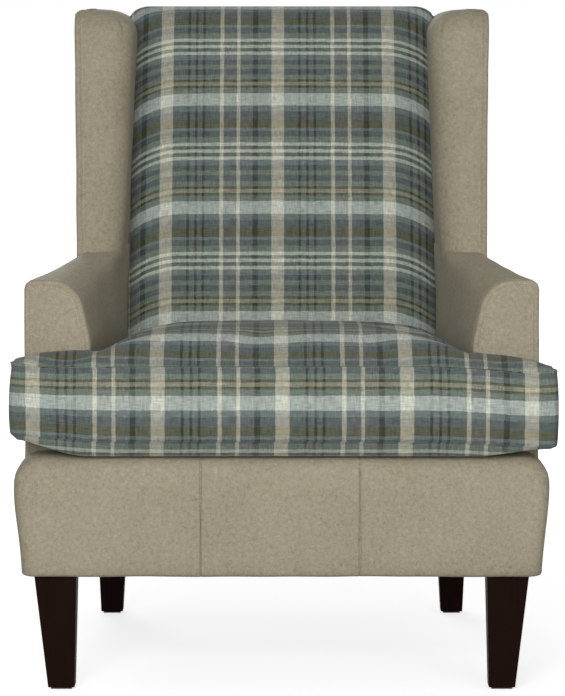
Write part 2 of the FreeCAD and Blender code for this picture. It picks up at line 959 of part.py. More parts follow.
def between_sides(form):
    """The tight back, drawn in between the two arms and the two wings."""
    for side in (arm_outer, wing_outer):
        form = form.cut(side).cut(side.mirror(Vector(0, 0, 0), Vector(1, 0, 0)))
    return form


top_rail_shape = doc.getObject("top_rail").Shape
back_outer = between_sides(back_form(0)).cut(top_rail_shape)
back_filled = between_sides(back_form(size("back_cloth"))).cut(top_rail_shape)
keep("inside_back_cover", feature("inside_back_cover", back_outer.cut(back_filled)))
keep("back_pad", feature("back_pad", back_filled))

straps = []
WEB_LOW = "web_foot_depth + web_rake * (lower_rail_low + 4 - web_foot_height)"
WEB_HIGH = "web_foot_depth + web_rake * (top_rail_high - web_short - web_foot_height)"
for place in (-1, 0, 1):
    straps.append(
        outline_body(
            f"web_strap_{place + 2}",
            "YZ_Plane",
            (
                (WEB_LOW + " - web_thick", "lower_rail_low + 4"),
                (WEB_LOW, "lower_rail_low + 4"),
                (WEB_HIGH, "top_rail_high - web_short"),
                (WEB_HIGH + " - web_thick", "top_rail_high - web_short"),
            ),
            f"{place} * web_spacing - web_width / 2",
            "web_width",
        )
    )
keep("back_webbing", compound("back_webbing", straps))

# Front border


def border_section(z, half, face, inset):
    rear = size("border_back")
    corner = size("border_corner")
    return rounded_wire(
        (
            (at(-half + inset, face + inset, z), corner),
            (at(half - inset, face + inset, z), corner),
            (at(half - inset, rear, z), 0),
            (at(-half + inset, rear, z), 0),
        )
    )


def border_form(inset):
    """The padded front border; it swells above its foot and rounds over at its top."""
    foot = size("border_foot_half")
    half = size("border_half")
    face = size("border_face")
    low = size("frame_floor") if inset else size("box_floor")
    levels = (
        (low, foot, face + 3),
        (low + 12, foot + 5, face + 0.5),
        (300, half, face),
        (322, half - 3, face + 1),
        (335, half - 9, face + 4),
        (343, half - 18, face + 10),
        (size("border_top") - inset, half - 36, face + 22),
    )
    return ruled_solid([border_section(z, wide, front, inset) for z, wide, front in levels])


border_outer = border_form(0)
border_filled = border_form(size("skin"))
cover_floor = size("box_floor")
cavity = Part.makeBox(
    2 * size("front_rail_half"),
    size("border_back") - size("front_rail_face"),
    size("border_top") - size("border_pad_thick") - size("skin") - cover_floor,
    at(-size("front_rail_half"), size("front_rail_face"), cover_floor),
)
keep("front_border_pad", feature("front_border_pad", border_filled.cut(cavity)))
border_cover = border_outer.cut(border_filled).cut(cavity)
seam = size("border_seam")
end = size("border_half") + 10
for label, left, right in (
    ("front_border_left_panel", -end, -seam),
    ("front_border_middle_panel", -seam, seam),
    ("front_border_right_panel", seam, end),
):
    slab = Part.makeBox(right - left, 200, 300, at(left, 0, cover_floor - 20))
    keep(label, feature(label, border_cover.common(slab)))

# Seat suspension and deck


def rail_face_at_springs():
    """Depth of the front of the back seat rail at its top."""
    return back_plane(size("rail_top")) - size("post_gap") - size("rail_thick")


def zigzag(x):
    """One flat zigzag spring, cut from its plan outline, from front rail to back rail."""
    wire = size("wire")
    half = size("spring_half")
    pitch = size("spring_step")
    start = size("front_rail_face") + 6
    stop = rail_face_at_springs() + size("spring_bearing")
    count = int((stop - start) / pitch)
    pitch = (stop - start) / count
    path = []
    for i in range(count + 1):
        depth = start + i * pitch
        side = half if i % 2 else -half
        ease = min(4.0, pitch / 3)
        path += [(x - side, depth - ease), (x - side + math.copysign(ease, side), depth)]
        path += [(x + side - math.copysign(ease, side), depth), (x + side, depth + ease)]
    path = path[2:-2]
    left, right = [], []
    for i, point in enumerate(path):
        before = path[max(0, i - 1)]
        after = path[min(len(path) - 1, i + 1)]
        first = Vector(point[0] - before[0], point[1] - before[1], 0)
        second = Vector(after[0] - point[0], after[1] - point[1], 0)
        first = first.normalize() if first.Length else second.normalize()
        second = second.normalize() if second.Length else first
        along = (first + second).normalize()
        grow = wire / 2 / max(0.5, along.dot(first))
        normal = Vector(-along.y, along.x, 0) * grow
        left.append(at(point[0] + normal.x, point[1] + normal.y, size("rail_top")))
        right.append(at(point[0] - normal.x, point[1] - normal.y, size("rail_top")))
    ring = left + right[::-1]
    return Part.Face(Part.makePolygon(ring + ring[:1])).extrude(Vector(0, 0, wire))


spring_count = int(size("spring_count"))
spring_places = [
    (i - (spring_count - 1) / 2) * size("spring_spacing") for i in range(spring_count)
]
springs = Part.makeCompound([zigzag(x) for x in spring_places])
keep("seat_springs", feature("seat_springs", springs))


def clip(x, depth):
    """A folded steel clip nailed over the end of a spring."""
    wide = size("clip_wide")
    deep = size("clip_deep")
    thick = size("clip_thick")
    leg_wide = size("clip_bridge")
    corner = at(x - wide / 2, depth, size("rail_top"))
    whole = Part.makeBox(wide, deep, size("wire") + thick, corner)
    passage = Part.makeBox(wide - 2 * leg_wide, deep, size("wire"), corner + Vector(leg_wide, 0, 0))
    return whole.cut(passage)


clips = []
for x in spring_places:
    clips.append(clip(x, size("front_rail_face") + 4))
    clips.append(clip(x, rail_face_at_springs() + 4))
keep("spring_clips", feature("spring_clips", Part.makeCompound(clips).cut(springs)))


def deck_slab(low, high, depth_end):
    """A slab between the arms, from the front border to under the back."""
    margin = 1
    corners = (
        (size("arm_front_inner") - margin, size("border_back")),
        (size("arm_front_inner") - margin, size("arm_post_front")),
        (size("arm_rear_inner") - margin, size("arm_rear_depth")),
        (size("arm_end_inner") - margin, depth_end),
    )
    right = [at(x, depth, low) for x, depth in corners]
    left = [Vector(-p.x, p.y, p.z) for p in reversed(right)]
    ring = right + left
    return Part.Face(Part.makePolygon(ring + ring[:1])).extrude(Vector(0, 0, high - low))


deck_end = size("web_foot_depth") - 20
cloth_low = size("deck_top") - size("deck_cloth_thick")
keep("deck_cloth", feature("deck_cloth", deck_slab(cloth_low, size("deck_top"), deck_end)))
pad_low = size("rail_top") + size("wire")
keep("seat_deck_pad", feature("seat_deck_pad", deck_slab(pad_low, cloth_low, deck_end)))
doc.recompute()

# Seat cushion


def cushion_ring(z, inset):
    """The T-shaped outline of the cushion at a height, drawn in by inset."""
    half = size("cushion_half") - inset
    neck = size("cushion_neck_half") - inset
    rear_half = size("cushion_rear_half") - inset
    ear = size("cushion_ear_depth") - inset
    rear = size("cushion_rear_depth") - inset
    right = (
        (half, inset, size("cushion_front_corner")),
        (half, ear, size("cushion_ear_corner")),
        (neck, ear, size("cushion_neck_corner")),
        (rear_half, rear, size("cushion_rear_corner")),
    )
    ring = [(at(x, depth, z), radius) for x, depth, radius in right]
    ring += [(at(-x, depth, z), radius) for x, depth, radius in reversed(right)]
    return rounded_wire(ring)


def crown_room(lowered):
    """All below the crown: one arched profile from front to back, one from side to side."""
    crown = size("cushion_crown") - lowered
    seam = size("cushion_high_seam") - lowered
    floor = size("cushion_rest") - 30
    half = size("cushion_half") + 20
    neck = size("cushion_neck_half") + 1
    rear = size("cushion_rear_depth")
    front_end = at(-half, -6, seam - 4)
    front_mid = at(-half, 58, crown - 17)
    front_stop = at(-half, 150, crown - 3)
    middle = at(-half, 270, crown + 1)
    rear_start = at(-half, 400, crown - 4)
    rear_mid = at(-half, 460, crown - 16)
    rear_end = at(-half, rear + 8, seam - 2)
    base_rear = at(-half, rear + 8, floor)
    base_front = at(-half, -6, floor)
    along = Part.Wire(
        [
            Part.Arc(front_end, front_mid, front_stop).toShape(),
            Part.Arc(front_stop, middle, rear_start).toShape(),
            Part.Arc(rear_start, rear_mid, rear_end).toShape(),
            Part.makeLine(rear_end, base_rear),
            Part.makeLine(base_rear, base_front),
            Part.makeLine(base_front, front_end),
        ]
    )
    lengthwise = Part.Face(along).extrude(Vector(2 * half, 0, 0))
    left, right = at(-neck, -20, seam + 2), at(neck, -20, seam + 2)
    far_left, far_right = at(-half, -20, seam + 2), at(half, -20, seam + 2)
    low_left, low_right = at(-half, -20, floor), at(half, -20, floor)
    shoulder_left, shoulder_right = at(-neck + 80, -20, crown - 5), at(neck - 80, -20, crown - 5)
    across = Part.Wire(
        [
            Part.Arc(left, at(-neck + 26, -20, crown - 18), shoulder_left).toShape(),
            Part.Arc(shoulder_left, at(0, -20, crown + 1), shoulder_right).toShape(),
            Part.Arc(shoulder_right, at(neck - 26, -20, crown - 18), right).toShape(),
            Part.makeLine(right, far_right),
            Part.makeLine(far_right, low_right),
            Part.makeLine(low_right, low_left),
            Part.makeLine(low_left, far_left),
            Part.makeLine(far_left, left),
        ]
    )
    return lengthwise.common(Part.Face(across).extrude(Vector(0, rear + 60, 0)))


def cushion_form(inset):
    """The whole cushion: a boxed border that swells between its seams, under a crown."""
    rest = size("cushion_rest") + inset
    low = size("cushion_low_seam")
    high = size("cushion_high_seam")
    middle = (low + high) / 2
    bulge = size("cushion_bulge")
    levels = (
        (rest, 26),
        (rest + 5, 12),
        (rest + 13, 4),
        (low, 0),
        (low + 16, -0.6 * bulge),
        (middle, -bulge),
        (high - 16, -0.6 * bulge),
        (high, 0),
        (size("cushion_crown") + 20, 0),
    )
    form = ruled_solid([cushion_ring(z, pulled + inset) for z, pulled in levels])
    return form.common(crown_room(inset))


zip_low = size("zip_height") - size("zip_wide") / 2
zip_face = size("cushion_rear_depth") + size("cushion_bulge") - 1
tape_face = zip_face + size("zip_tape_thick")
tape = Part.makeBox(
    2 * size("zip_half"),
    size("zip_tape_thick"),
    size("zip_wide"),
    at(-size("zip_half"), zip_face, zip_low),
)
coil_half = size("zip_coil_half")
coil = Part.makeBox(
    2 * size("zip_half"),
    size("zip_coil_thick"),
    2 * coil_half,
    at(-size("zip_half"), tape_face, size("zip_height") - coil_half),
)
keep("cushion_zip", feature("cushion_zip", tape.fuse(coil).removeSplitter()))

core_inset = size("cushion_wrap_thick")
core_low = size("cushion_rest") + 14
core_high = size("cushion_high_seam") - 9
core_corners = (
    (size("cushion_half") - core_inset, core_inset),
    (size("cushion_half") - core_inset, size("cushion_ear_depth") - core_inset),
    (size("cushion_neck_half") - core_inset, size("cushion_ear_depth") - core_inset),
    (size("cushion_rear_half") - core_inset, size("cushion_rear_depth") - core_inset),
)
core_ring = [at(x, depth, core_low) for x, depth in core_corners]
core_ring += [at(-x, depth, core_low) for x, depth in reversed(core_corners)]
core = Part.Face(Part.makePolygon(core_ring + core_ring[:1])).extrude(
    Vector(0, 0, core_high - core_low)
)
keep("cushion_foam", feature("cushion_foam", core))
# the cover and the fibre wrap sewn into it are one piece round the foam
keep("cushion_cover", feature("cushion_cover", cushion_form(0).cut(tape).cut(core)))

# Zip slider: a small body that straddles the coil, with its pull hanging down
gap = size("slider_gap")
slider_x = size("zip_half") - size("slider_long") - 8
slider_face = tape_face + gap
slider_deep = size("zip_coil_thick") + size("slider_thick")
slider = Part.makeBox(
    size("slider_long"),
    slider_deep,
    size("slider_wide"),
    at(slider_x, slider_face, size("zip_height") - size("slider_wide") / 2),
)
channel = Part.makeBox(
    size("slider_long"),
    size("zip_coil_thick"),
    2 * (coil_half + gap),
    at(slider_x, slider_face, size("zip_height") - coil_half - gap),
)
pull = Part.makeBox(
    size("slider_long") / 2,
    1.2,
    size("pull_long"),
    at(
        slider_x + size("slider_long") / 4,
        slider_face + slider_deep - 1.2,
        size("zip_height") - size("slider_wide") / 2 - size("pull_long"),
    ),
)
keep("zip_slider", feature("zip_slider", slider.cut(channel).fuse(pull).removeSplitter()))

# Dust cover under the seat, open round the legs
dust_margin = 6
dust_corners = [
    at(size("side_rail_front") + size("rail_thick") - dust_margin, size("front_leg_face") + 1, 0),
    at(size("side_rail_rear") + size("rail_thick") - dust_margin, size("back_foot") - 4, 0),
]
dust_corners += [Vector(-p.x, p.y, p.z) for p in reversed(dust_corners)]
dust = Part.Face(Part.makePolygon(dust_corners + dust_corners[:1]))
dust.translate(Vector(0, 0, size("box_floor")))
dust = dust.extrude(Vector(0, 0, size("frame_floor") - size("box_floor")))
for leg_blank in ("front_leg_blank", "rear_leg_blank"):
    shape = doc.getObject(leg_blank).Shape
    bounds = shape.BoundBox
    hole = Part.makeBox(bounds.XLength + 2, bounds.YLength + 2, 4)
    hole.translate(Vector(bounds.XMin - 1, bounds.YMin - 1, size("box_floor") - 2))
    dust = dust.cut(hole).cut(hole.mirror(Vector(0, 0, 0), Vector(1, 0, 0)))
keep("dust_cover", feature("dust_cover", dust))
doc.recompute()

os.makedirs("parts", exist_ok=True)
doc.recompute()
for made in doc.Objects:
    if "Invalid" in made.State or "Error" in made.State:
        raise RuntimeError(f"{made.Name}: {made.State}")
for node in nodes:
    if node.Shape.isNull() or not node.Shape.isValid():
        raise RuntimeError(f"{node.Label} has no valid shape")
    node.Shape.exportStep(f"parts/{node.Label}.step")
    solids = len(node.Shape.Solids)
    print(f"{node.Label}: {solids} solids, {node.Shape.Volume / 1e3:.1f} cm3")
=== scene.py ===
"""The fireside chair dressed: check cushion and back, suede leather shell, dark stained legs.

Lengths are millimetres until they reach a mesh. A point is (x, depth, z): x to the right as
seen from the front, depth behind the cushion's front seam, z above the floor.
"""
import math

import bpy
import numpy as np
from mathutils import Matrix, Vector, kdtree, noise


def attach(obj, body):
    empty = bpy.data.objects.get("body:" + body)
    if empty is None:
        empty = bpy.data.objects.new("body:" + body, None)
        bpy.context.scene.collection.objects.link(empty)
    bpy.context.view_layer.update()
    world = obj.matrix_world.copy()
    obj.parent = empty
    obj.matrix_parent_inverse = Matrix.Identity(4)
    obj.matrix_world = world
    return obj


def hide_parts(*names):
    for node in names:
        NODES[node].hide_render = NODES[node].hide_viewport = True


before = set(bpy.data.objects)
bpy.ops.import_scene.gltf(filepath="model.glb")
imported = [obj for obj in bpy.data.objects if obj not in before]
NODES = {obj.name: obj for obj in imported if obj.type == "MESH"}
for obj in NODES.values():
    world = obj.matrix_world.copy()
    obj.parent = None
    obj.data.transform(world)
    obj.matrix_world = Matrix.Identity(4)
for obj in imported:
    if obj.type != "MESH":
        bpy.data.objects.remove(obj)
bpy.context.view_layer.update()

# Driving dimensions of the shell: the depth that is y = 0 in the frame, the box under the
# arms, the raked back and wing fronts, the arms' inner line and tops, and the outer sides
DATUM = 412.5
BOX_FLOOR = 170.0
RAKE_FOOT = 171.0
BACK_FOOT, BACK_RAKE = 703.0, 0.1503
WING_FOOT, WING_FOOT_HIGH, WING_RAKE = 374.0, 545.0, 0.359
ARM_FRONT, ARM_BEND, ARM_END = 101.0, 527.0, 790.0
ARM_RUN = ARM_BEND - ARM_FRONT
ARM_IN_FRONT, ARM_IN_BEND = 283.5, 250.5
ARM_LOW, ARM_TOP, ARM_RISE = 292.0, 602.0, 32.0
SIDE_END, SIDE_REAR_HALF = 656.0, 306.7
LEAN, LEAN_FOOT, LEAN_HIGH = 24.0, 600.0, 407.0


HANDS = (("right", 1), ("left", -1))

# Shape helpers


def smooth(value, low, high):
    """A smooth step from 0 to 1 as a value goes from low to high."""
    t = np.clip((np.asarray(value, float) - low) / (high - low), 0, 1)
    return t * t * (3 - 2 * t)


def to_frame(points):
    """Points in the chair's millimetres as metres in the shared frame."""
    made = np.array(points, float) / 1000
    made[..., 1] -= DATUM / 1000
    return made


def mesh_object(name, vertices, faces, uvs=None, material=None):
    """A smooth-shaded mesh; uvs holds one (u, v) in millimetres of cloth per face corner."""
    mesh = bpy.data.meshes.new(name)
    mesh.from_pydata(to_frame(vertices).tolist(), [], [tuple(int(i) for i in f) for f in faces])
    if uvs is not None:
        layer = mesh.uv_layers.new(name="cloth")
        layer.data.foreach_set("uv", (np.array(uvs, np.float32) / 1000).ravel())
    mesh.polygons.foreach_set("use_smooth", [True] * len(mesh.polygons))
    made = bpy.data.objects.new(name, mesh)
    bpy.context.scene.collection.objects.link(made)
    if material:
        mesh.materials.append(material)
    return made


def grid_faces(rows, cols, closed=False, start=0, flip=False):
    """Quads of a rows by cols grid of vertices numbered row by row."""
    faces = []
    for j in range(rows - 1):
        for i in range(cols if closed else cols - 1):
            a = start + j * cols + i
            b = start + j * cols + (i + 1) % cols
            quad = (a, b, b + cols, a + cols)
            faces.append(quad[::-1] if flip else quad)
    return faces


def grid_object(name, grid, material, closed=False, flip=False, uv=None):
    """A mesh over a (rows, cols, 3) array of points, with a (rows, cols, 2) cloth map if given."""
    grid = np.asarray(grid, float)
    rows, cols = grid.shape[:2]
    faces = grid_faces(rows, cols, closed, flip=flip)
    uvs = None
    if uv is not None:
        flat = np.asarray(uv, float).reshape(-1, 2)
        uvs = [flat[i] for face in faces for i in face]
    return mesh_object(name, grid.reshape(-1, 3), faces, uvs, material)


def surface(name, rows, cols, point, material, flip=False):
    """A mesh over the points that point(row, col) gives; rows and cols are (from, to, count)."""
    grid = [[point(row, col) for col in np.linspace(*cols)] for row in np.linspace(*rows)]
    return grid_object(name, grid, material, flip=flip)


def rounded_path(corners, step, turns=7):
    """An open flat path through (a, b, radius) corners, as points at about step apart."""
    points = []
    for i, (a, b, radius) in enumerate(corners):
        here = np.array((a, b), float)
        if radius <= 0 or i in (0, len(corners) - 1):
            points.append(here)
            continue
        back = np.array(corners[i - 1][:2], float) - here
        ahead = np.array(corners[i + 1][:2], float) - here
        back /= np.linalg.norm(back)
        ahead /= np.linalg.norm(ahead)
        half = math.acos(np.clip(back @ ahead, -1, 1)) / 2
        reach = radius / math.tan(half)
        centre = here + (back + ahead) / np.linalg.norm(back + ahead) * radius / math.sin(half)
        first, last = here + back * reach - centre, here + ahead * reach - centre
        sweep = math.pi - 2 * half
        for k in range(turns + 1):
            t = k / turns
            mixed = (math.sin((1 - t) * sweep) * first + math.sin(t * sweep) * last)
            points.append(centre + mixed / math.sin(sweep))
    points = np.array(points)
    return even(points, max(2, int(round(run_length(points)[-1] / step)) + 1))


def run_length(points):
    """Length along a polyline up to each of its points."""
    return np.concatenate([[0], np.cumsum(np.linalg.norm(np.diff(points, axis=0), axis=1))])


def points_at(points, run, at):
    """Points of a polyline at given lengths along it."""
    return np.stack([np.interp(at, run, points[:, k]) for k in range(points.shape[1])], axis=1)


def even(points, count):
    """A polyline's shape as so many points at even spacing."""
    run = run_length(points)
    return points_at(points, run, np.linspace(0, run[-1], count))


def read_values(items, field):
    """Three values for each vertex, as an array."""
    values = np.empty(len(items) * 3, np.float32)
    items.foreach_get(field, values)
    return values.reshape(-1, 3)


def place_vertices(mesh, places):
    """Moves a mesh's vertices to an array of places."""
    mesh.vertices.foreach_set("co", places.astype(np.float32).ravel())
    mesh.update()


def ripple(points, scale, seed):
    """Smooth noise from -1 to 1 over points in millimetres."""
    flat = np.asarray(points, float).reshape(-1, 3) / scale
    made = [noise.noise(Vector((p[0] + seed, p[1] - seed, p[2] + 2 * seed))) for p in flat]
    return np.array(made).reshape(np.asarray(points).shape[:-1])


def uneven(made, amount, scale, seed):
    """Slight unevenness of the padding under a cover."""
    mesh = made.data
    where = read_values(mesh.vertices, "co")
    normal = read_values(mesh.vertices, "normal")
    push = ripple(where * 1000, scale, seed) * amount / 1000
    place_vertices(mesh, where + normal * push[:, None])


def stitches(name, paths, material, pitch=4.4, long=3.2, thick=0.5):
    """Short thread dashes, pointed at both ends, lying along seam paths."""
    sides = 5
    sloping = (0.31, 0.23, 0.92)
    vertices, faces = [], []
    for path in paths:
        path = np.asarray(path, float)
        run = run_length(path)
        for start in np.arange(pitch, run[-1] - pitch, pitch):
            at = start + np.array((0.0, long / 2, long))
            spine = points_at(path, run, at)
            ahead = spine[2] - spine[0]
            ahead /= np.linalg.norm(ahead)
            aside = np.cross(ahead, sloping)
            aside /= np.linalg.norm(aside)
            above = np.cross(ahead, aside)
            first = len(vertices)
            for place, radius in zip(spine, (0.4 * thick, thick, 0.4 * thick)):
                for k in range(sides):
                    turn = 2 * math.pi * k / sides
                    around = aside * math.cos(turn) + above * math.sin(turn)
                    vertices.append(place + radius * around)
            faces += grid_faces(3, sides, closed=True, start=first)
    made = mesh_object(name, vertices, faces, None, material)
    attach(made, "chair")


def back_plane(z):
    """Depth of the raked outside back at a height."""
    return BACK_FOOT + BACK_RAKE * (z - RAKE_FOOT)


def wing_front(z):
    """Depth of the wings' raked front at a height."""
    return WING_FOOT + WING_RAKE * (z - WING_FOOT_HIGH)


def arc_through(a, b, c):
    """Centre and radius of the circle through three flat points."""
    (ax, ay), (bx, by), (cx, cy) = a, b, c
    d = 2 * (ax * (by - cy) + bx * (cy - ay) + cx * (ay - by))
    aa, bb, cc = ax**2 + ay**2, bx**2 + by**2, cx**2 + cy**2
    ux = (aa * (by - cy) + bb * (cy - ay) + cc * (ay - by)) / d
    uy = (aa * (cx - bx) + bb * (ax - cx) + cc * (bx - ax)) / d
    return ux, uy, math.hypot(ax - ux, ay - uy)


SIDE_X, SIDE_D, SIDE_R = arc_through((384, 97), (323, 400), (SIDE_REAR_HALF, SIDE_END))


def side(depth, z):
    """Half-width of the outer side: an arc hollow to the outside, then straight, leaning out."""
    bowed = SIDE_X - np.sqrt(np.maximum(SIDE_R**2 - (depth - SIDE_D) ** 2, 0))
    flat = np.where(depth < SIDE_END, bowed, SIDE_REAR_HALF)
    return flat + LEAN * np.maximum(0, z - LEAN_FOOT) / LEAN_HIGH


def arm_inner(depth):
    """Half-width between the arms' inner sides."""
    front = ARM_IN_FRONT - (ARM_IN_FRONT - ARM_IN_BEND) * (depth - ARM_FRONT) / ARM_RUN
    rear = ARM_IN_BEND - 4 * (depth - ARM_BEND) / (ARM_END - ARM_BEND)
    return np.where(depth < ARM_BEND, front, rear)


def puffed(gap, reach=14.0, rise=1.2):
    """How far a stretched panel swells at a distance from its edge."""
    return rise * math.sqrt(max(0.0, min(gap, reach) / reach))


# Materials


def lin(colour):
    """A colour written in 0 to 255 display values, as the linear one that shaders take."""
    made = []
    for value in colour:
        value /= 255
        made.append(value / 12.92 if value <= 0.04045 else ((value + 0.055) / 1.055) ** 2.4)
    return (*made, 1.0)


class Graph:
    """A node tree, built by short calls."""

    def __init__(self, tree):
        self.tree = tree

    def add(self, kind, inputs=None, **settings):
        made = self.tree.nodes.new("ShaderNode" + kind)
        for key, value in settings.items():
            setattr(made, key, value)
        for key, value in (inputs or {}).items():
            self.feed(made.inputs[key], value)
        return made

    def feed(self, socket, value):
        if isinstance(value, bpy.types.NodeSocket):
            self.tree.links.new(value, socket)
        else:
            socket.default_value = value

    def math(self, operation, a, b=0.0, c=0.0):
        return self.add("Math", {0: a, 1: b, 2: c}, operation=operation).outputs[0]

    def plus(self, a, b):
        return self.math("ADD", a, b)

    def times(self, a, b):
        return self.math("MULTIPLY", a, b)

    def ramp(self, value, stops, interpolation="LINEAR"):
        made = self.add("ValToRGB", {"Fac": value})
        made.color_ramp.interpolation = interpolation
        band = made.color_ramp.elements
        while len(band) > 1:
            band.remove(band[-1])
        band[0].position, band[0].color = stops[0][0], lin(stops[0][1])
        for place, colour in stops[1:]:
            band.new(place).color = lin(colour)
        return made.outputs["Color"]

    def mix(self, share, a, b, kind="MIX"):
        ends = {0: share, 6: a, 7: b}
        return self.add("Mix", ends, data_type="RGBA", blend_type=kind).outputs[2]

    def grey(self, tone):
        """A colour with the same value in its three channels."""
        return self.add("CombineColor", {0: tone, 1: tone, 2: tone}).outputs[0]

    def stretched(self, where, scale):
        """Coordinates scaled by axis, for marks that run one way."""
        return self.add("Mapping", {"Vector": where, "Scale": scale}).outputs[0]

    def noise(self, where, scale, detail=3.0, roughness=0.5, distortion=0.0):
        form = {"Scale": scale, "Detail": detail, "Roughness": roughness, "Distortion": distortion}
        return self.add("TexNoise", {"Vector": where, **form}).outputs["Fac"]

    def bump(self, height, strength, distance):
        made = self.add("Bump", {"Height": height, "Strength": strength, "Distance": distance})
        return made.outputs["Normal"]

    def unless_seen(self, lit, seen):
        """One shader for light, and another for what the camera and reflections see."""
        path = self.add("LightPath").outputs
        share = self.math("MAXIMUM", path["Is Camera Ray"], path["Is Glossy Ray"])
        both = {0: share, 1: lit.outputs[0], 2: seen.outputs[0]}
        return self.add("MixShader", both).outputs[0]


class Surface(Graph):
    """The node tree of a new material."""

    def __init__(self, name):
        self.material = bpy.data.materials.new(name)
        self.material.use_nodes = True
        super().__init__(self.material.node_tree)
        self.shader = self.tree.nodes["Principled BSDF"]

    def shade(self, **values):
        """Sets or links inputs of the surface shader by name, with _ for a space."""
        for key, value in values.items():
            self.feed(self.shader.inputs[key.replace("_", " ")], value)
        return self.material


# The check, as (start in mm, display colour) along one repeat of each thread system
WARP_REPEAT = 182.0
STONE = (103, 111, 105)
ASH = (112, 114, 111)
ECRU = (208, 202, 183)
INK = (42, 45, 46)
WARP = (
    (0.0, ECRU), (10.5, STONE), (33.6, INK), (37.8, ASH), (46.9, INK), (51.1, ASH),
    (58.4, INK), (62.6, STONE), (87.2, ECRU), (93.2, ASH), (114.6, ECRU), (120.6, ASH),
    (140.8, INK), (150.0, STONE), (171.5, ECRU),
)
WEFT_REPEAT = 178.0
MIST = (179, 188, 180)
SLATE = (101, 114, 113)
DUSK = (70, 79, 80)
OLIVE = (70, 70, 37)
REED = (135, 135, 114)
SAGE = (105, 117, 106)
BONE = (181, 190, 176)
LODEN = (86, 97, 89)
WEFT = (
    (0.0, MIST), (10.0, SLATE), (19.5, DUSK), (34.0, OLIVE), (47.6, SLATE), (52.6, DUSK),
    (62.0, SAGE), (72.0, BONE), (77.5, LODEN), (83.0, BONE), (89.0, LODEN), (95.0, BONE),
    (100.5, SLATE), (109.5, DUSK), (118.0, SAGE), (125.5, DUSK), (135.5, SAGE),
    (143.5, OLIVE), (148.0, REED), (154.0, OLIVE), (158.5, SAGE), (167.5, MIST),
)
THREAD_PITCH = 0.0009
WANDER = 0.0012
FRAY = 0.0034
WARP_SHARE, TWILL_SHARE = 0.335, 0.14
SLUB_FINE, SLUB_LONG = 520.0, 64.0


def check_fabric():
    """A woven check: two sets of striped threads crossing in a twill."""
    g = Surface("check_fabric")
    cloth = g.add("UVMap", uv_map="cloth").outputs["UV"]
    wander = g.noise(cloth, 40.0, 2.0)
    shift = g.times(g.math("SUBTRACT", wander, 0.5), WANDER)
    parts = g.add("SeparateXYZ", {"Vector": cloth})
    fray = g.add("TexNoise", {"Vector": cloth, "Scale": 750.0, "Detail": 2.0})
    frayed = g.add("SeparateColor", {"Color": fray.outputs["Color"]})
    ways = []
    for axis, channel in (("X", "Red"), ("Y", "Green")):
        ragged = g.math("MULTIPLY_ADD", frayed.outputs[channel], FRAY, -FRAY / 2)
        ways.append(g.plus(g.plus(parts.outputs[axis], shift), ragged))
    u, v = ways
    threads = []
    for along, repeat, stripes in ((u, WARP_REPEAT, WARP), (v, WEFT_REPEAT, WEFT)):
        share = g.math("FRACT", g.math("DIVIDE", along, repeat / 1000))
        stops = [(start / repeat, colour) for start, colour in stripes]
        threads.append(g.ramp(share, stops, "CONSTANT"))
    warp, weft = threads
    iu, iv = (g.math("FLOOR", g.math("DIVIDE", way, THREAD_PITCH)) for way in (u, v))
    step = g.math("FRACT", g.math("DIVIDE", g.plus(iu, iv), 4.0))
    over = g.math("LESS_THAN", step, 0.5)
    blend = g.plus(g.times(over, TWILL_SHARE), WARP_SHARE)
    plain = g.mix(blend, weft, warp)
    # slubs: uneven dye along each thread
    along_u = g.noise(g.stretched(cloth, (SLUB_LONG, SLUB_FINE, 1.0)), 1.0, 2.0)
    along_v = g.noise(g.stretched(cloth, (SLUB_FINE, SLUB_LONG, 1.0)), 1.0, 2.0)
    slub = g.plus(along_u, along_v)
    speck = g.noise(cloth, 900.0, 2.0, 0.7)
    tone = g.plus(g.math("MULTIPLY_ADD", slub, 1.0, -0.3), g.times(speck, 0.62))
    colour = g.mix(1.0, plain, g.grey(tone), "MULTIPLY")
    # the relief: warp threads stand up where they lie over, weft threads elsewhere
    wave_u, wave_v = (g.math("SINE", g.times(way, 2 * math.pi / THREAD_PITCH)) for way in (u, v))
    under = g.math("SUBTRACT", 1.0, over)
    height = g.plus(g.times(wave_u, over), g.times(wave_v, under))
    height = g.plus(height, g.times(slub, 1.2))
    g.shade(Base_Color=colour, Normal=g.bump(height, 0.35, 0.0006))
    return g.shade(
        Roughness=0.9, Specular_IOR_Level=0.1, Sheen_Weight=0.08, Sheen_Roughness=0.5
    )


def leather(name):
    """Brushed, suede-like leather: cloudy, with fine cracks and a short nap."""
    g = Surface(name)
    where = g.add("TexCoord").outputs["Object"]
    cloud = g.noise(where, 9.0, 4.0, 0.55, 0.3)
    patch = g.noise(where, 170.0, 5.0, 0.66, 0.5)
    grain = g.noise(where, 520.0, 3.0, 0.62)
    worn = g.plus(g.times(cloud, 0.24), g.times(patch, 0.76))
    tones = [(0.30, (130, 122, 102)), (0.44, (146, 138, 118))]
    tones += [(0.56, (155, 147, 127)), (0.72, (168, 160, 141))]
    base = g.ramp(worn, tones)
    cells = {"Vector": where, "Scale": 260.0}
    crack = g.add("TexVoronoi", cells, feature="DISTANCE_TO_EDGE")
    lines = g.math("SMOOTH_MIN", crack.outputs["Distance"], 0.12, 0.06)
    fine = g.math("MULTIPLY_ADD", grain, 0.3, 0.83)
    fleck = g.times(fine, g.math("MULTIPLY_ADD", lines, 0.9, 0.9))
    colour = g.mix(1.0, base, g.grey(fleck), "MULTIPLY")
    nap = g.plus(grain, g.times(patch, 1.5))
    height = g.plus(g.times(lines, 2.0), nap)
    rough = g.math("MULTIPLY_ADD", patch, -0.2, 0.86)
    g.shade(Base_Color=colour, Roughness=rough, Normal=g.bump(height, 0.4, 0.0007))
    return g.shade(Specular_IOR_Level=0.13, Sheen_Weight=0.04, Sheen_Roughness=0.45)


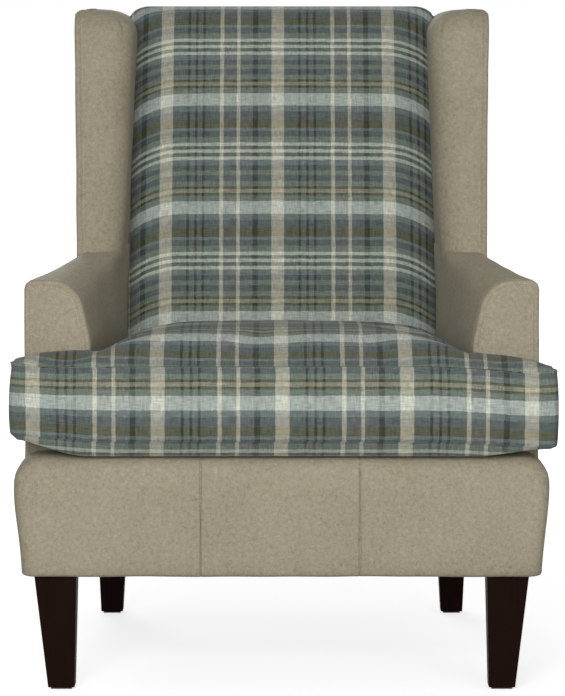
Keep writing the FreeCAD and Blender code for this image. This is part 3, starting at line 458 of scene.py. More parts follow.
def stained_wood(name, dark, light, along, rough, gloss):
    """Straight-grained wood; along is 0, 1 or 2 for grain along x, depth or height."""
    g = Surface(name)
    where = g.add("TexCoord").outputs["Object"]
    squeeze = [55.0] * 3
    squeeze[along] = 4.0
    rings = g.noise(g.stretched(where, squeeze), 1.0, 5.0, 0.6, 0.8)
    fine = [900.0] * 3
    fine[along] = 30.0
    pore = g.noise(g.stretched(where, fine), 1.0, 2.0)
    share = g.plus(g.times(rings, 0.8), g.times(pore, 0.2))
    colour = g.ramp(share, [(0.3, dark), (0.55, light), (0.7, dark)])
    g.shade(Base_Color=colour, Normal=g.bump(pore, 0.15, 0.0003))
    g.shade(Roughness=g.math("MULTIPLY_ADD", pore, 0.2, rough), Specular_IOR_Level=gloss)
    return g.material


def plain_cloth(name, colour, pitch=0.0012, rough=0.9):
    """A plain woven or pressed cloth of one colour, with its threads."""
    g = Surface(name)
    where = g.add("TexCoord").outputs["Object"]
    parts = g.add("SeparateXYZ", {"Vector": where})
    turns = [g.times(part, 2 * math.pi / pitch) for part in parts.outputs]
    x, y, z = (g.math("SINE", turn) for turn in turns)
    height = g.plus(g.times(x, y), z)
    mottle = g.noise(where, 60.0, 3.0)
    tone = g.math("MULTIPLY_ADD", mottle, 0.5, 0.75)
    dyed = g.mix(1.0, lin(colour), g.grey(tone), "MULTIPLY")
    g.shade(Base_Color=dyed, Normal=g.bump(height, 0.3, 0.0004))
    return g.shade(Roughness=rough, Specular_IOR_Level=0.2, Sheen_Weight=0.1)


def metal(name, colour, rough=0.3):
    """Plain metal, a little scuffed."""
    g = Surface(name)
    where = g.add("TexCoord").outputs["Object"]
    scuff = g.noise(where, 300.0, 3.0)
    rough = g.math("MULTIPLY_ADD", scuff, 0.25, rough)
    g.shade(Base_Color=lin(colour), Roughness=rough)
    return g.shade(Metallic=1.0, Normal=g.bump(scuff, 0.08, 0.0002))


CHECK = check_fabric()
LEATHER = leather("suede_leather")
DARK_WOOD = stained_wood("dark_stained_wood", (11, 4, 2), (24, 10, 5), 2, 0.42, 0.03)
BEECH = ((168, 132, 90), (196, 162, 118))
FRAME_WOOD_Z = stained_wood("frame_wood_upright", *BEECH, 2, 0.6, 0.3)
FRAME_WOOD_Y = stained_wood("frame_wood_deep", *BEECH, 1, 0.6, 0.3)
FRAME_WOOD_X = stained_wood("frame_wood_wide", *BEECH, 0, 0.6, 0.3)
LINING = plain_cloth("black_lining", (30, 30, 31))
FELT = plain_cloth("felt", (70, 64, 58), 0.0007)
FOAM = plain_cloth("upholstery_foam", (214, 206, 184), 0.002)
WEBBING = plain_cloth("webbing", (96, 84, 68), 0.0015)
ZIP_TAPE = plain_cloth("zip_tape", (74, 86, 88), 0.0009)
STEEL = metal("spring_steel", (150, 150, 152))
ZIP_METAL = metal("zip_metal", (120, 120, 118), 0.25)
THREAD = plain_cloth("stitch_thread", (176, 167, 146), 0.0005, 0.7)


# What nodes wear that no finer form replaces, by words in their names
FINISHES = (
    (("bolts", "springs", "clips"), STEEL),
    (("leg",), DARK_WOOD),
    (("foot_pads",), FELT),
    (("zip_slider",), ZIP_METAL),
    (("cushion_zip",), ZIP_TAPE),
    (("webbing",), WEBBING),
    (("post",), FRAME_WOOD_Z),
    (("front_seat_rail", "back_seat_rail", "back_top_rail", "back_lower_rail"), FRAME_WOOD_X),
    (("rail", "corner_blocks"), FRAME_WOOD_Y),
)
for name, node in NODES.items():
    found = [finish for words, finish in FINISHES if any(word in name for word in words)]
    node.data.materials.clear()
    node.data.materials.append(found[0] if found else FOAM)


# Seat cushion

# The T-shaped plan: half-widths over the ears, behind them and at the rear, and two depths
HALF, EAR, NECK, REAR_HALF, REAR = 399.0, 90.0, 277.0, 246.0, 504.0
LOW_SEAM, HIGH_SEAM, REST = 372.0, 485.0, 348.6
CROWN, CROWN_REACH = 44.0, 62.0
EAR_RISE, EAR_REACH = 14.0, 58.0
TIP_RISE, TIP_REACH = 2.2, 16.0
RIPPLE_HIGH, RIPPLE_WIDE = 3.5, 90.0
CUSHION_SHIFT = 2.6
BOXING_BULGE, BOXING_WOBBLE, SEAM_DIP = 4.6, 0.9, 1.5
BOXING_STEPS = (0, 0.014, 0.035, 0.07, 0.12, 0.19, 0.27, 0.36, 0.45, 0.54, 0.63, 0.72, 0.8, 0.87)
BOXING_STEPS += (0.92, 0.955, 0.98, 1.0)
EAR_COLUMNS, NECK_COLUMNS, EAR_ROWS, NECK_ROWS = 14, 71, 13, 52
# Where the cloth lies: across, on the boxing from its upper seam, on top and underneath
CLOTH_ACROSS, CLOTH_BOXING, CLOTH_BOXING_HIGH = 4.0, -55.5, 113.0
CLOTH_TOP, CLOTH_TOP_MOST, CLOTH_LOW = 75.0, 71.5, 60.0


def plan_grid():
    """The cushion's plan as index rows: a T whose columns follow the tapering neck."""
    neck = np.linspace(-1, 1, NECK_COLUMNS)
    ear = np.linspace(0, 1, EAR_COLUMNS + 1)[1:]
    columns = np.concatenate([-1 - ear[::-1], neck, 1 + ear])
    rows = [np.linspace(0, EAR, EAR_ROWS), np.linspace(EAR, REAR, NECK_ROWS + 1)[1:]]
    rows = np.concatenate(rows)
    x = np.zeros((len(rows), len(columns)))
    d = np.repeat(rows[:, None], len(columns), axis=1)
    for j, depth in enumerate(rows):
        taper = np.clip((depth - EAR) / (REAR - EAR), 0, 1)
        half = NECK + (REAR_HALF - NECK) * taper
        out = np.abs(columns) - 1
        x[j] = np.where(out > 0, np.sign(columns) * (NECK + out * (HALF - NECK)), columns * half)
    used = np.ones_like(x, bool)
    used[EAR_ROWS:, :EAR_COLUMNS] = False
    used[EAR_ROWS:, -EAR_COLUMNS:] = False
    return x, d, used


def round_corner(x, d, cx, cd, radius, sx, sd):
    """Turns a square corner of a plan grid into a round one."""
    centre_x, centre_d = cx - sx * radius, cd - sd * radius
    vx, vd = x - centre_x, d - centre_d
    inside = (vx * sx > 0) & (vd * sd > 0)
    reach = np.hypot(vx, vd)
    square = np.maximum(abs(vx), abs(vd)) / np.maximum(reach, 1e-6)
    share = np.where(inside & (reach > 1e-6), square, 1)
    return np.where(inside, centre_x + vx * share, x), np.where(inside, centre_d + vd * share, d)


def edge_room(x, d):
    """Soft distance from the cushion's edge, which the crown grows with."""
    outline = [(-HALF, 0), (HALF, 0), (HALF, EAR), (NECK, EAR), (REAR_HALF, REAR)]
    outline += [(-REAR_HALF, REAR), (-NECK, EAR), (-HALF, EAR)]
    total = np.zeros_like(x)
    for i, a in enumerate(outline):
        b = outline[(i + 1) % len(outline)]
        ax, ad = a
        lx, ld = b[0] - ax, b[1] - ad
        t = np.clip(((x - ax) * lx + (d - ad) * ld) / (lx * lx + ld * ld), 0, 1)
        gap = np.hypot(x - ax - t * lx, d - ad - t * ld)
        total += np.maximum(gap, 0.01) ** -3.0
    return total ** (-1 / 3.0)


def droop(x):
    """The right-hand ear hangs a little lower than the left."""
    return -9.0 * smooth(x, 210, 400) + 1.5 * smooth(-x, 330, 400)


def cushion_plan():
    """The plan with rounded corners and edges that pull in, and its room from the edge."""
    x, d, used = plan_grid()
    room = edge_room(x, d)
    for sx in (-1, 1):
        x, d = round_corner(x, d, sx * HALF, 0.0, 9.0, sx, -1)
        x, d = round_corner(x, d, sx * HALF, EAR, 12.0, sx, 1)
        x, d = round_corner(x, d, sx * REAR_HALF, REAR, 28.0, sx, 1)
    d = d + 4.0 * np.cos(np.clip(x / HALF, -1, 1) * math.pi / 2) * smooth(-d, -40, 0)
    return x, d, used, room


def cushion_heights(x, d, room):
    """Heights of the crowned top and of the underside, which lies flat on the deck."""
    fall = np.exp(-((room / CROWN_REACH) ** 1.5))
    swell = 1 - 0.34 * smooth(np.abs(x), 200, 390) - 0.44 * smooth(d, 120, 430)
    top = HIGH_SEAM + droop(x) + CROWN * swell * (1 - fall)
    raised = smooth(HALF - np.abs(x), 0, 130) * smooth(d, 12, 82) * (1 - smooth(d, 120, 330))
    top += EAR_RISE * raised * np.exp(-room / EAR_REACH)
    top += TIP_RISE * np.exp(-np.hypot(np.abs(x) - HALF, d) / TIP_REACH)
    uneven_top = ripple(np.stack([x, d, top], -1), RIPPLE_WIDE, 3.0)
    top += RIPPLE_HIGH * uneven_top * smooth(room, 5, 60)
    low = LOW_SEAM + droop(x) * 0.9 + 7.0 * smooth(-x, 240, 400)
    sag = 1 - 0.75 * smooth(np.abs(x), 285, 395) * smooth(-d, -110, -60)
    bottom = low - (low - REST) * sag * (1 - np.exp(-room / 3.2))
    return top, np.maximum(bottom, REST)


def rim_cells(rows, cols):
    """The plan's edge cells, from the front left corner along the front and round."""
    ear = EAR_ROWS - 1
    left, right = EAR_COLUMNS, cols - EAR_COLUMNS - 1
    cells = [(0, i) for i in range(cols)]
    cells += [(j, cols - 1) for j in range(1, ear + 1)]
    cells += [(ear, i) for i in range(cols - 2, right - 1, -1)]
    cells += [(j, right) for j in range(ear + 1, rows)]
    cells += [(rows - 1, i) for i in range(right - 1, left - 1, -1)]
    cells += [(j, left) for j in range(rows - 2, ear - 1, -1)]
    cells += [(ear, i) for i in range(left - 1, -1, -1)]
    return cells + [(j, 0) for j in range(ear - 1, 0, -1)]


def boxing_rings(rim_x, rim_d, rim_high, rim_low):
    """Rings of points down the boxing, which bulges between its two seams."""
    ahead_x = np.roll(rim_x, -1) - np.roll(rim_x, 1)
    ahead_d = np.roll(rim_d, -1) - np.roll(rim_d, 1)
    outward = np.stack([ahead_d, -ahead_x], -1) / np.hypot(ahead_x, ahead_d)[:, None]
    tip = np.exp(-np.hypot(np.abs(rim_x) - HALF, rim_d) / 14.0)
    wobble = ripple(np.stack([rim_x, rim_d, 0 * rim_x], -1), 34.0, 7.0)
    rings = []
    for t in BOXING_STEPS[1:-1]:
        arch = math.sin(math.pi * t)
        bulge = BOXING_BULGE * arch**0.55 * (1 - 0.55 * tip) + 1.8 * tip
        bulge += 4.0 * tip * (rim_x > 0) * (1 - t) ** 3
        bulge += BOXING_WOBBLE * wobble * arch
        bulge -= SEAM_DIP * math.exp(-((min(t, 1 - t) / 0.016) ** 2))
        z = rim_high + (rim_low - rim_high) * t + 0.8 * wobble * math.sin(2 * math.pi * t)
        out_x, out_d = rim_x + outward[:, 0] * bulge, rim_d + outward[:, 1] * bulge
        rings.append(np.stack([out_x, out_d, z], -1))
    return rings


def along_depth(d, height):
    """Length of cloth along each column of the plan from its front."""
    step = np.hypot(np.diff(d, axis=0), np.diff(height, axis=0))
    return np.concatenate([np.zeros((1, d.shape[1])), np.cumsum(step, axis=0)])


def make_cushion():
    """Top, underside and boxing as one mesh, whose map follows the cloth."""
    x, d, used, room = cushion_plan()
    top, bottom = cushion_heights(x, d, room)
    index = -np.ones(x.shape, int)
    index[used] = np.arange(used.sum())
    count = int(used.sum())
    vertices = [np.stack([x, d, top], -1)[used], np.stack([x, d, bottom], -1)[used]]
    top_v = np.minimum(CLOTH_TOP - along_depth(d, top), CLOTH_TOP_MOST)
    map_top = np.stack([x + CLOTH_ACROSS, top_v], -1)[used]
    map_low = np.stack([x + CLOTH_ACROSS, CLOTH_LOW + along_depth(d, bottom)], -1)[used]

    faces, uvs = [], []
    for j in range(x.shape[0] - 1):
        for i in range(x.shape[1] - 1):
            quad = (index[j, i], index[j, i + 1], index[j + 1, i + 1], index[j + 1, i])
            if min(quad) < 0:
                continue
            faces.append(quad)
            uvs += [map_top[k] for k in quad]
            faces.append(tuple(count + k for k in quad[::-1]))
            uvs += [map_low[k] for k in quad[::-1]]

    rim = tuple(np.array(rim_cells(*x.shape)).T)
    rings = boxing_rings(x[rim], d[rim], top[rim], bottom[rim])
    vertices += rings
    size = len(rim[0])
    ring_at = [index[rim]]
    ring_at += [2 * count + k * size + np.arange(size) for k in range(len(rings))]
    ring_at.append(count + index[rim])
    walked = np.concatenate([[0], np.cumsum(np.hypot(np.diff(x[rim]), np.diff(d[rim])))])
    walked = np.append(walked, walked[-1] + EAR / (EAR_ROWS - 1)) - HALF + CLOTH_ACROSS
    drop = [CLOTH_BOXING + CLOTH_BOXING_HIGH * t for t in BOXING_STEPS]
    for k in range(len(ring_at) - 1):
        upper, lower = ring_at[k], ring_at[k + 1]
        for i in range(size):
            n = (i + 1) % size
            faces.append((upper[i], lower[i], lower[n], upper[n]))
            here, there = walked[i], walked[i + 1]
            uvs += [(here, drop[k]), (here, drop[k + 1]), (there, drop[k + 1]), (there, drop[k])]
    vertices = np.concatenate(vertices)
    vertices[:, 0] += CUSHION_SHIFT
    return mesh_object("seat_cushion_check", vertices, faces, uvs, CHECK)


def spread_out(values, edges, rounds):
    """Values on a mesh's points, blurred along its edges."""
    a, b = edges.T
    total = np.bincount(edges.ravel(), minlength=len(values)).astype(float)
    for _ in range(rounds):
        near = np.bincount(a, values[b], len(values)) + np.bincount(b, values[a], len(values))
        values = 0.5 * values + 0.5 * near / total
    return values


# The flat of the rear border, in metres of the frame
FLAT_Y, FLAT_Z, FLAT_HALF_HIGH, FLAT_HALF_WIDE = 0.0937, 0.423, 0.023, 0.197


def press_rear(made):
    """Holds the middle of the rear border flat, so that the zip tape and slider lie on it."""
    place = read_values(made.data.vertices, "co")
    above = np.maximum(np.abs(place[:, 2] - FLAT_Z) - FLAT_HALF_HIGH, 0) / 1.4
    beside = np.maximum(np.abs(place[:, 0]) - FLAT_HALF_WIDE, 0) / 2
    rear = place[:, 1] > 0.05
    place[rear, 1] = np.minimum(place[rear, 1], (FLAT_Y + above + beside)[rear])
    place_vertices(made.data, place)


CLOTH = {
    "quality": 4,
    "mass": 0.4,
    "tension_stiffness": 12,
    "compression_stiffness": 12,
    "shear_stiffness": 6,
    "bending_stiffness": 0.6,
    "use_pressure": True,
    "uniform_pressure_force": 4.0,
    "vertex_group_mass": "held",
}


def fill_with_air(made, voxel=0.007, frames=20, cap=0.008, share=0.1):
    """Inflates a remeshed copy of a cushion as cloth, and carries its bulge and wrinkles back.

    The wide swelling counts by share only, because the mesh already has its crown.
    """
    scene = bpy.context.scene
    copy = bpy.data.objects.new("inflated", made.data.copy())
    scene.collection.objects.link(copy)
    remesh = copy.modifiers.new("remesh", "REMESH")
    remesh.mode = "VOXEL"
    remesh.voxel_size = voxel
    graph = bpy.context.evaluated_depsgraph_get()
    closed = bpy.data.meshes.new_from_object(copy.evaluated_get(graph))
    copy.modifiers.clear()
    copy.data = closed
    before = read_values(closed.vertices, "co")
    held = copy.vertex_groups.new(name="held")
    resting = np.flatnonzero(before[:, 2] < (LOW_SEAM - 10) / 1000)
    held.add([int(i) for i in resting], 1.0, "REPLACE")
    cloth = copy.modifiers.new("cloth", "CLOTH")
    for key, value in CLOTH.items():
        setattr(cloth.settings, key, value)
    cloth.settings.effector_weights.gravity = 0
    cloth.point_cache.frame_start = 1
    cloth.point_cache.frame_end = frames
    for frame_number in range(1, frames + 1):
        scene.frame_set(frame_number)
    graph = bpy.context.evaluated_depsgraph_get()
    blown = copy.evaluated_get(graph).to_mesh()
    move = read_values(blown.vertices, "co") - before
    scene.frame_set(1)
    bpy.data.objects.remove(copy)
    bpy.data.meshes.remove(closed)

    tree = kdtree.KDTree(len(before))
    for i, point in enumerate(before):
        tree.insert(point, i)
    tree.balance()
    mesh = made.data
    where = read_values(mesh.vertices, "co")
    normal = read_values(mesh.vertices, "normal")
    edges = np.empty(len(mesh.edges) * 2, np.int32)
    mesh.edges.foreach_get("vertices", edges)
    edges = edges.reshape(-1, 2)
    push = np.zeros(len(where))
    for i, point in enumerate(where):
        found = tree.find_n(point, 4)
        weight = np.array([1 / (hit[2] + 1e-4) for hit in found])
        shift = sum(w * move[hit[1]] for w, hit in zip(weight, found)) / weight.sum()
        push[i] = float(shift @ normal[i])
    push = spread_out(push, edges, 2)
    wide = spread_out(push, edges, 260)
    push = np.clip(push - (1 - share) * wide, -cap, cap)
    push *= smooth(where[:, 2], (LOW_SEAM - 12) / 1000, (LOW_SEAM + 8) / 1000)
    place_vertices(mesh, where + normal * push[:, None])


cushion = make_cushion()
fill_with_air(cushion)
press_rear(cushion)
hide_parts("cushion_cover", "cushion_foam")
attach(cushion, "seat_cushion")


# Tight back

BACK_HALF, BACK_EDGE, BACK_TOP = 254.0, 34.0, 1014.5
BAND_HEIGHTS = (510.0, 685.0, 859.0)
BACK_CROWN = 5.0
CHECK_PULL, PULL_FROM, PULL_WIDE = 26.0, 168.0, 77.0


def make_back():
    """The tight back, from its profile and how its cover falls away to the sides."""
    profile = rounded_path(
        [
            (508, 350, 0),
            (556, 640, 1100),
            (731, BACK_TOP, 62),
            (back_plane(BACK_TOP) - 1, BACK_TOP, 14),
            (back_plane(994) - 1, 994, 0),
        ],
        8.0,
    )
    ahead = np.gradient(profile, axis=0)
    ahead /= np.linalg.norm(ahead, axis=1)[:, None]
    inward = np.stack([ahead[:, 1], -ahead[:, 0]], -1)
    run = run_length(profile)
    # the three light bands of the check lie at these heights on the profile
    height = np.maximum.accumulate(profile[:, 1])
    bands = np.interp(BAND_HEIGHTS, height, run)
    drawn = np.interp(run, bands, (WEFT_REPEAT, 0.0, -WEFT_REPEAT))
    drawn = np.where(run < bands[0], WEFT_REPEAT + 0.98 * (bands[0] - run), drawn)
    drawn = np.where(run > bands[2], -WEFT_REPEAT - 0.95 * (run - bands[2]), drawn)
    # a column is a half-width and how far the cover has fallen back there, left to right
    flat = BACK_HALF - BACK_EDGE
    turned = [(BACK_HALF, BACK_EDGE + 14)]
    for turn in np.linspace(math.pi / 2, 0, 12):
        turned.append((flat + BACK_EDGE * math.sin(turn), BACK_EDGE * (1 - math.cos(turn))))
    columns = [(-x, fall) for x, fall in turned]
    columns += [(x, 0.0) for x in np.linspace(-flat, flat, 51)[1:-1]]
    columns += turned[::-1]
    grid = np.zeros((len(profile), len(columns), 3))
    cloth = np.zeros((len(profile), len(columns), 2))
    spread = run_length(np.array(columns))
    spread -= spread[len(columns) // 2]
    for i, (x, fall) in enumerate(columns):
        crown = BACK_CROWN * math.cos(min(1, abs(x) / BACK_HALF) * math.pi / 2)
        share = 1 - smooth(height, 880, 1000)
        depth = fall * (1 - 0.38 * smooth(height, 950, 1010)) - crown * share
        grid[:, i, 0] = x
        grid[:, i, 1] = profile[:, 0] + inward[:, 0] * depth
        grid[:, i, 2] = profile[:, 1] + inward[:, 1] * depth
        pulled = CHECK_PULL * np.clip((abs(x) - PULL_FROM) / PULL_WIDE, 0, 1) ** 1.9
        cloth[:, i, 0] = spread[i] + 7
        cloth[:, i, 1] = drawn - pulled
    return grid_object("tight_back_check", grid, CHECK, uv=cloth)


back = make_back()
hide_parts("inside_back_cover", "back_pad")
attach(back, "chair")


# Wings

WING_LOW, WING_ROLL, WING_TOP = 542.0, 966.0, 1007.0
WING_EDGE, WING_ROUND = 12.0, 50.0
WING_IN_LOW, WING_IN_HIGH = 250.0, 238.0
FOOT_LEAN, FOOT_LEAN_FROM = 0.09, 560.0
ROLL_IN, ROLL_BACK, ROLL_TIGHTEN = 46.0, 34.0, 20.0
# Pleats over the crest: depth of each, and its place and width as angles round the front edge
PLEATS = ((3.0, 0.82, 0.07), (1.6, 0.4, 0.06), (-0.9, 0.63, 0.09))
PLEAT_HIGH, PLEAT_SPREAD = 984.0, 20.0
# The seam in the wing's front: distance from the corner, and depth of the groove
SEAM = ((5, 0), (6.2, -0.25), (7.2, 0.4), (8, 1.5), (8.8, 0.4), (10, -0.35), (13, -0.1), (17, 0))


def wing_near(depth, z):
    """Half-width between the wings' inner sides, which run on into the arms' low down."""
    share = (min(z, 962) - WING_FOOT_HIGH) / (WING_TOP - WING_FOOT_HIGH)
    own = WING_IN_LOW - (WING_IN_LOW - WING_IN_HIGH) * share
    arm = arm_inner(depth) - FOOT_LEAN * max(0.0, z - FOOT_LEAN_FROM)
    return 0.5 * (own + arm + np.sqrt((own - arm) ** 2 + 30))


def wing_loop(z, sign, roll):
    """One level section of a wing: outer side from the rear, front edge, inner side to the rear.

    The roll runs from 0 to 1 as the top rounds over.
    """
    draw = 1 - math.cos(roll * math.pi / 2)
    front = wing_front(z) + ROLL_BACK * draw
    over = max(0.0, z - (WING_TOP - WING_EDGE))
    edge = WING_EDGE - math.sqrt(max(0.0, WING_EDGE**2 - over**2))
    rear = back_plane(z) - 3
    loop = []
    for depth in np.linspace(rear, front + 14, 22):
        loop.append((side(depth, z) - 1.2 - edge, depth))
    loop.append((side(front + 12, z) - 0.3 - edge, front + 12))
    corner = side(front + 5, z) - 0.1 - edge
    for k in range(6):
        turn = k / 6 * math.pi / 2
        loop.append((corner - 5 * (1 - math.cos(turn)), front + 5 - 5 * math.sin(turn)))
    loop += [(corner - inward, front + dip) for inward, dip in SEAM]
    radius = WING_ROUND - ROLL_TIGHTEN * draw
    near = wing_near(front + radius, z) + ROLL_IN * draw
    loop += [(x, front) for x in np.linspace(corner - SEAM[-1][0], near + radius, 9)[1:]]
    fold = math.exp(-(((z - PLEAT_HIGH) / PLEAT_SPREAD) ** 2))
    for turn in np.linspace(0, math.pi / 2, 23)[1:-1]:
        pleat = sum(deep * math.exp(-(((turn - at) / wide) ** 2)) for deep, at, wide in PLEATS)
        reach = radius - pleat * fold
        x = near + radius - reach * math.sin(turn)
        loop.append((x, front + radius - reach * math.cos(turn)))
    for depth in np.linspace(front + radius, rear, 26):
        loop.append((wing_near(depth, z) + ROLL_IN * draw, depth))
    return np.array([(sign * x, depth, z) for x, depth in loop])


def make_wing(name, sign):
    """A wing as level sections that draw together over its crest."""
    loops = [wing_loop(z, sign, 0) for z in np.arange(WING_LOW, WING_ROLL + 1, 6)]
    for roll in np.linspace(0, 1, 14)[1:]:
        z = WING_ROLL + (WING_TOP - WING_ROLL) * math.sin(roll * math.pi / 2)
        loops.append(wing_loop(z, sign, roll))
    last = loops[-1]
    middle = (last + last[::-1]) / 2
    for share in (0.3, 0.65, 1.0):
        flat = last + (middle - last) * share
        flat[:, 2] += 0.8 * math.sin(share * math.pi / 2)
        loops.append(flat)
    made = grid_object(name, loops, LEATHER, closed=True, flip=sign > 0)
    uneven(made, 0.9, 70.0, 4.0 * sign)
    return made


def wing_seam(sign):
    """The stitched line beside the seam up the wing's front."""
    path = []
    for z in np.arange(632, 992, 4):
        corner = side(wing_front(z) + 5, z)
        path.append((sign * (corner - 12.0), wing_front(z) - 0.35, z))
    return path


for label, sign in HANDS:
    wing = make_wing(label + "_wing_leather", sign)
    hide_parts(label + "_wing_cover", label + "_wing_pad")
    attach(wing, "chair")
    stitches(label + "_wing_stitches", [wing_seam(sign)], THREAD)


# Arms

FACING_INSET = 15
FACING_WRAP = 112
# How the front edge turns over, and the facing behind its seam: (inset, depth)
FRONT_TURN = ((0.2, 101.0), (0.9, 99.2), (2.4, 97.6), (4.4, 96.7), (6.0, 96.6), (7.0, 97.0))
FRONT_TURN += ((7.6, 97.7), (8.2, 96.9), (9.2, 96.4), (11.5, 96.1), (FACING_INSET, 95.9))


def arm_section(depth, sign, inset=0.0):
    """The arm's section at a depth, from the foot of its outer side over the top and down."""
    inner = arm_inner(depth) + inset
    top = ARM_TOP + ARM_RISE * min(1.0, (depth - ARM_FRONT) / ARM_RUN) - inset
    outer = side(depth, 0) - 0.2 - inset
    if depth > FACING_WRAP:
        outer -= 1.0
    low = ARM_LOW + inset
    squarer = smooth(depth, ARM_FRONT, 330)
    sharper = smooth(depth, 300, 405)
    shoulder = inner + 20 - 11 * squarer - 12 * sharper
    path = rounded_path(
        [
            (outer, low, 0),
            (outer, top, 13 - min(inset, 8) * 0.9),
            (shoulder, top, 50 - inset - 21 * (squarer + sharper)),
            (inner, top - 92 + inset, 60),
            (inner, low, 0),
        ],
        1.0,
    )
    return np.array([(sign * x, depth, z) for x, z in even(path, 86)])


def make_arm(name, sign):
    """An arm as upright sections from under the wing to the facing, which closes its front."""
    depths = list(np.arange(640, 118, -8)) + [117, 113.5, 111.5, 108, 105, 103]
    loops = [arm_section(depth, sign) for depth in depths]
    for inset, depth in FRONT_TURN:
        loop = arm_section(ARM_FRONT, sign, inset)
        loop[:, 1] = depth
        loops.append(loop)
    last = arm_section(ARM_FRONT, sign, FACING_INSET)
    middle = (last + last[::-1]) / 2
    for share, depth in ((0.25, 95.4), (0.5, 94.8), (0.75, 94.5), (1.0, 94.4)):
        loop = last + (middle - last) * share
        loop[:, 1] = depth
        loops.append(loop)
    made = grid_object(name, loops, LEATHER, flip=sign < 0)
    uneven(made, 0.8, 60.0, 2.0 * sign)
    return made


for label, sign in HANDS:
    arm = make_arm(label + "_arm_leather", sign)
    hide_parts(label + "_arm_cover", label + "_arm_pad", label + "_arm_facing")
    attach(arm, "chair")
    seam = arm_section(ARM_FRONT, sign, 10.6)
    seam[:, 1] = 96.0
    over = arm_section(109, sign, 0.0)
    over = over[(over[:, 2] > 500)]
    stitches(label + "_arm_stitches", [seam[seam[:, 2] > 355], over], THREAD)


# Front border

BORDER_SEAMS = (-119.0, 115.0)
BORDER_REAR, BORDER_TURN_IN, BORDER_CORNER = 97.6, 22, 18.0
BORDER_COLUMNS = 152
BESIDE_SEAM = (0.5, 1.1, 2, 3.1, 4.4, 6, 8)


def border_loop(z, half, face):
    """One level section of the border, with more points beside the two seams."""
    path = rounded_path(
        [
            (-half + BORDER_TURN_IN, BORDER_REAR, 0),
            (-half, BORDER_REAR, 3),
            (-half, face, BORDER_CORNER),
            (half, face, BORDER_CORNER),
            (half, BORDER_REAR, 3),
            (half - BORDER_TURN_IN, BORDER_REAR, 0),
        ],
        1.0,
    )
    run = run_length(path)
    at = list(np.linspace(0, run[-1], 120))
    for seam in BORDER_SEAMS:
        near = run[-1] / 2 + seam
        at = [value for value in at if abs(value - near) > 8.5]
        at += [near] + [near + way * gap for gap in BESIDE_SEAM for way in (-1, 1)]
    at = sorted(at)
    at += [run[-1]] * (BORDER_COLUMNS - len(at))
    return np.array([(x, depth, z) for x, depth in points_at(path, run, at)])


def make_border():
    # each level is a height, a half-width and the depth of the face there
    levels = [(171.5, 366, 36), (169.4, 374, 28), (169.6, 379, 22), (171.4, 382, 17.6)]
    for z in np.linspace(175, 300, 18):
        share = smooth(z, 171, 300)
        levels.append((z, 383.5 + 10.5 * share, 15.6 - 3.6 * smooth(z, 171, 196)))
    levels += [(312, 393.6, 12.2), (322, 391.5, 13), (330, 387.6, 15), (337, 382, 19)]
    levels += [(342.5, 375, 25), (346, 366, 33), (347.8, 354, 44), (348, 330, 62), (348, 300, 80)]
    grid = np.array([border_loop(z, half, face) for z, half, face in levels])
    for seam in BORDER_SEAMS:
        beside = np.abs(grid[..., 0] - seam)
        groove = 2.6 * np.exp(-((beside / 1.1) ** 2))
        grid[..., 1] += groove * (grid[..., 1] < 90)
        swell = 0.45 * np.exp(-(((beside - 4.2) / 2.6) ** 2))
        grid[..., 1] -= swell * (grid[..., 1] < 90)
    made = grid_object("front_border_leather", grid, LEATHER)
    uneven(made, 1.0, 80.0, 1.0)
    return made


border = make_border()
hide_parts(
    "front_border_pad",
    "front_border_left_panel",
    "front_border_middle_panel",
    "front_border_right_panel",
)
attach(border, "chair")


# Outer sides and outside back

UNDER_BORDER, BEHIND_FACING = 94.2, 112.5
ARM_PANEL_TOP, ARM_PANEL_REAR, PANEL_MEET = 589.0, 830.0, 604.0
WING_PANEL_LOW, PANEL_TOP, BACK_PANEL_TOP = 603.0, 1000.0, 999.0


def outer_point(sign, depth, z, gap):
    """A point of a stretched outer panel, so far from the panel's edge."""
    return sign * (side(depth, z) - 1.0 + puffed(gap)), depth, z


def make_outside_arm(name, sign):
    """The panel below the arm's top, from the border to the raked outside back."""

    def point(share, along):
        clear = smooth(BOX_FLOOR + 430 * share, ARM_LOW + 5, ARM_LOW + 20)
        start = UNDER_BORDER + (BEHIND_FACING - UNDER_BORDER) * clear
        depth = start + (ARM_PANEL_REAR - start) * along
        head = PANEL_MEET
        if depth < wing_front(611):
            head = min(611, ARM_PANEL_TOP + ARM_RISE * (depth - ARM_FRONT) / ARM_RUN)
        foot = max(BOX_FLOOR, min((depth - BACK_FOOT) / BACK_RAKE + RAKE_FOOT, 598))
        z = foot + (max(head, foot + 1) - foot) * share
        near = min(depth, back_plane(z) - 1)
        return outer_point(sign, near, z, min(z - foot, head - z, near - start))

    return surface(name, (0, 1, 60), (0, 1, 90), point, LEATHER, sign < 0)


def make_outside_wing(name, sign):
    """The panel above the arm, between the wing's raked front and the outside back."""

    def point(z, along):
        front, rear = wing_front(z) + 13, back_plane(z) - 1
        depth = front + (rear - front) * along
        gap = min(z - WING_PANEL_LOW, PANEL_TOP - z, depth - front, rear - depth)
        return outer_point(sign, depth, z, gap)

    heights = WING_PANEL_LOW, PANEL_TOP, 50
    return surface(name, heights, (0, 1, 56), point, LEATHER, sign < 0)


def make_outside_back():
    def point(z, across):
        half = side(700, z) - 0.3
        x = half * across
        gap = min(z - BOX_FLOOR, BACK_PANEL_TOP - z, half - abs(x))
        return x, back_plane(z) - 0.6 + puffed(gap, 16.0, 1.4), z

    heights = BOX_FLOOR, BACK_PANEL_TOP, 70
    return surface("outside_back_leather", heights, (-1, 1, 60), point, LEATHER, True)


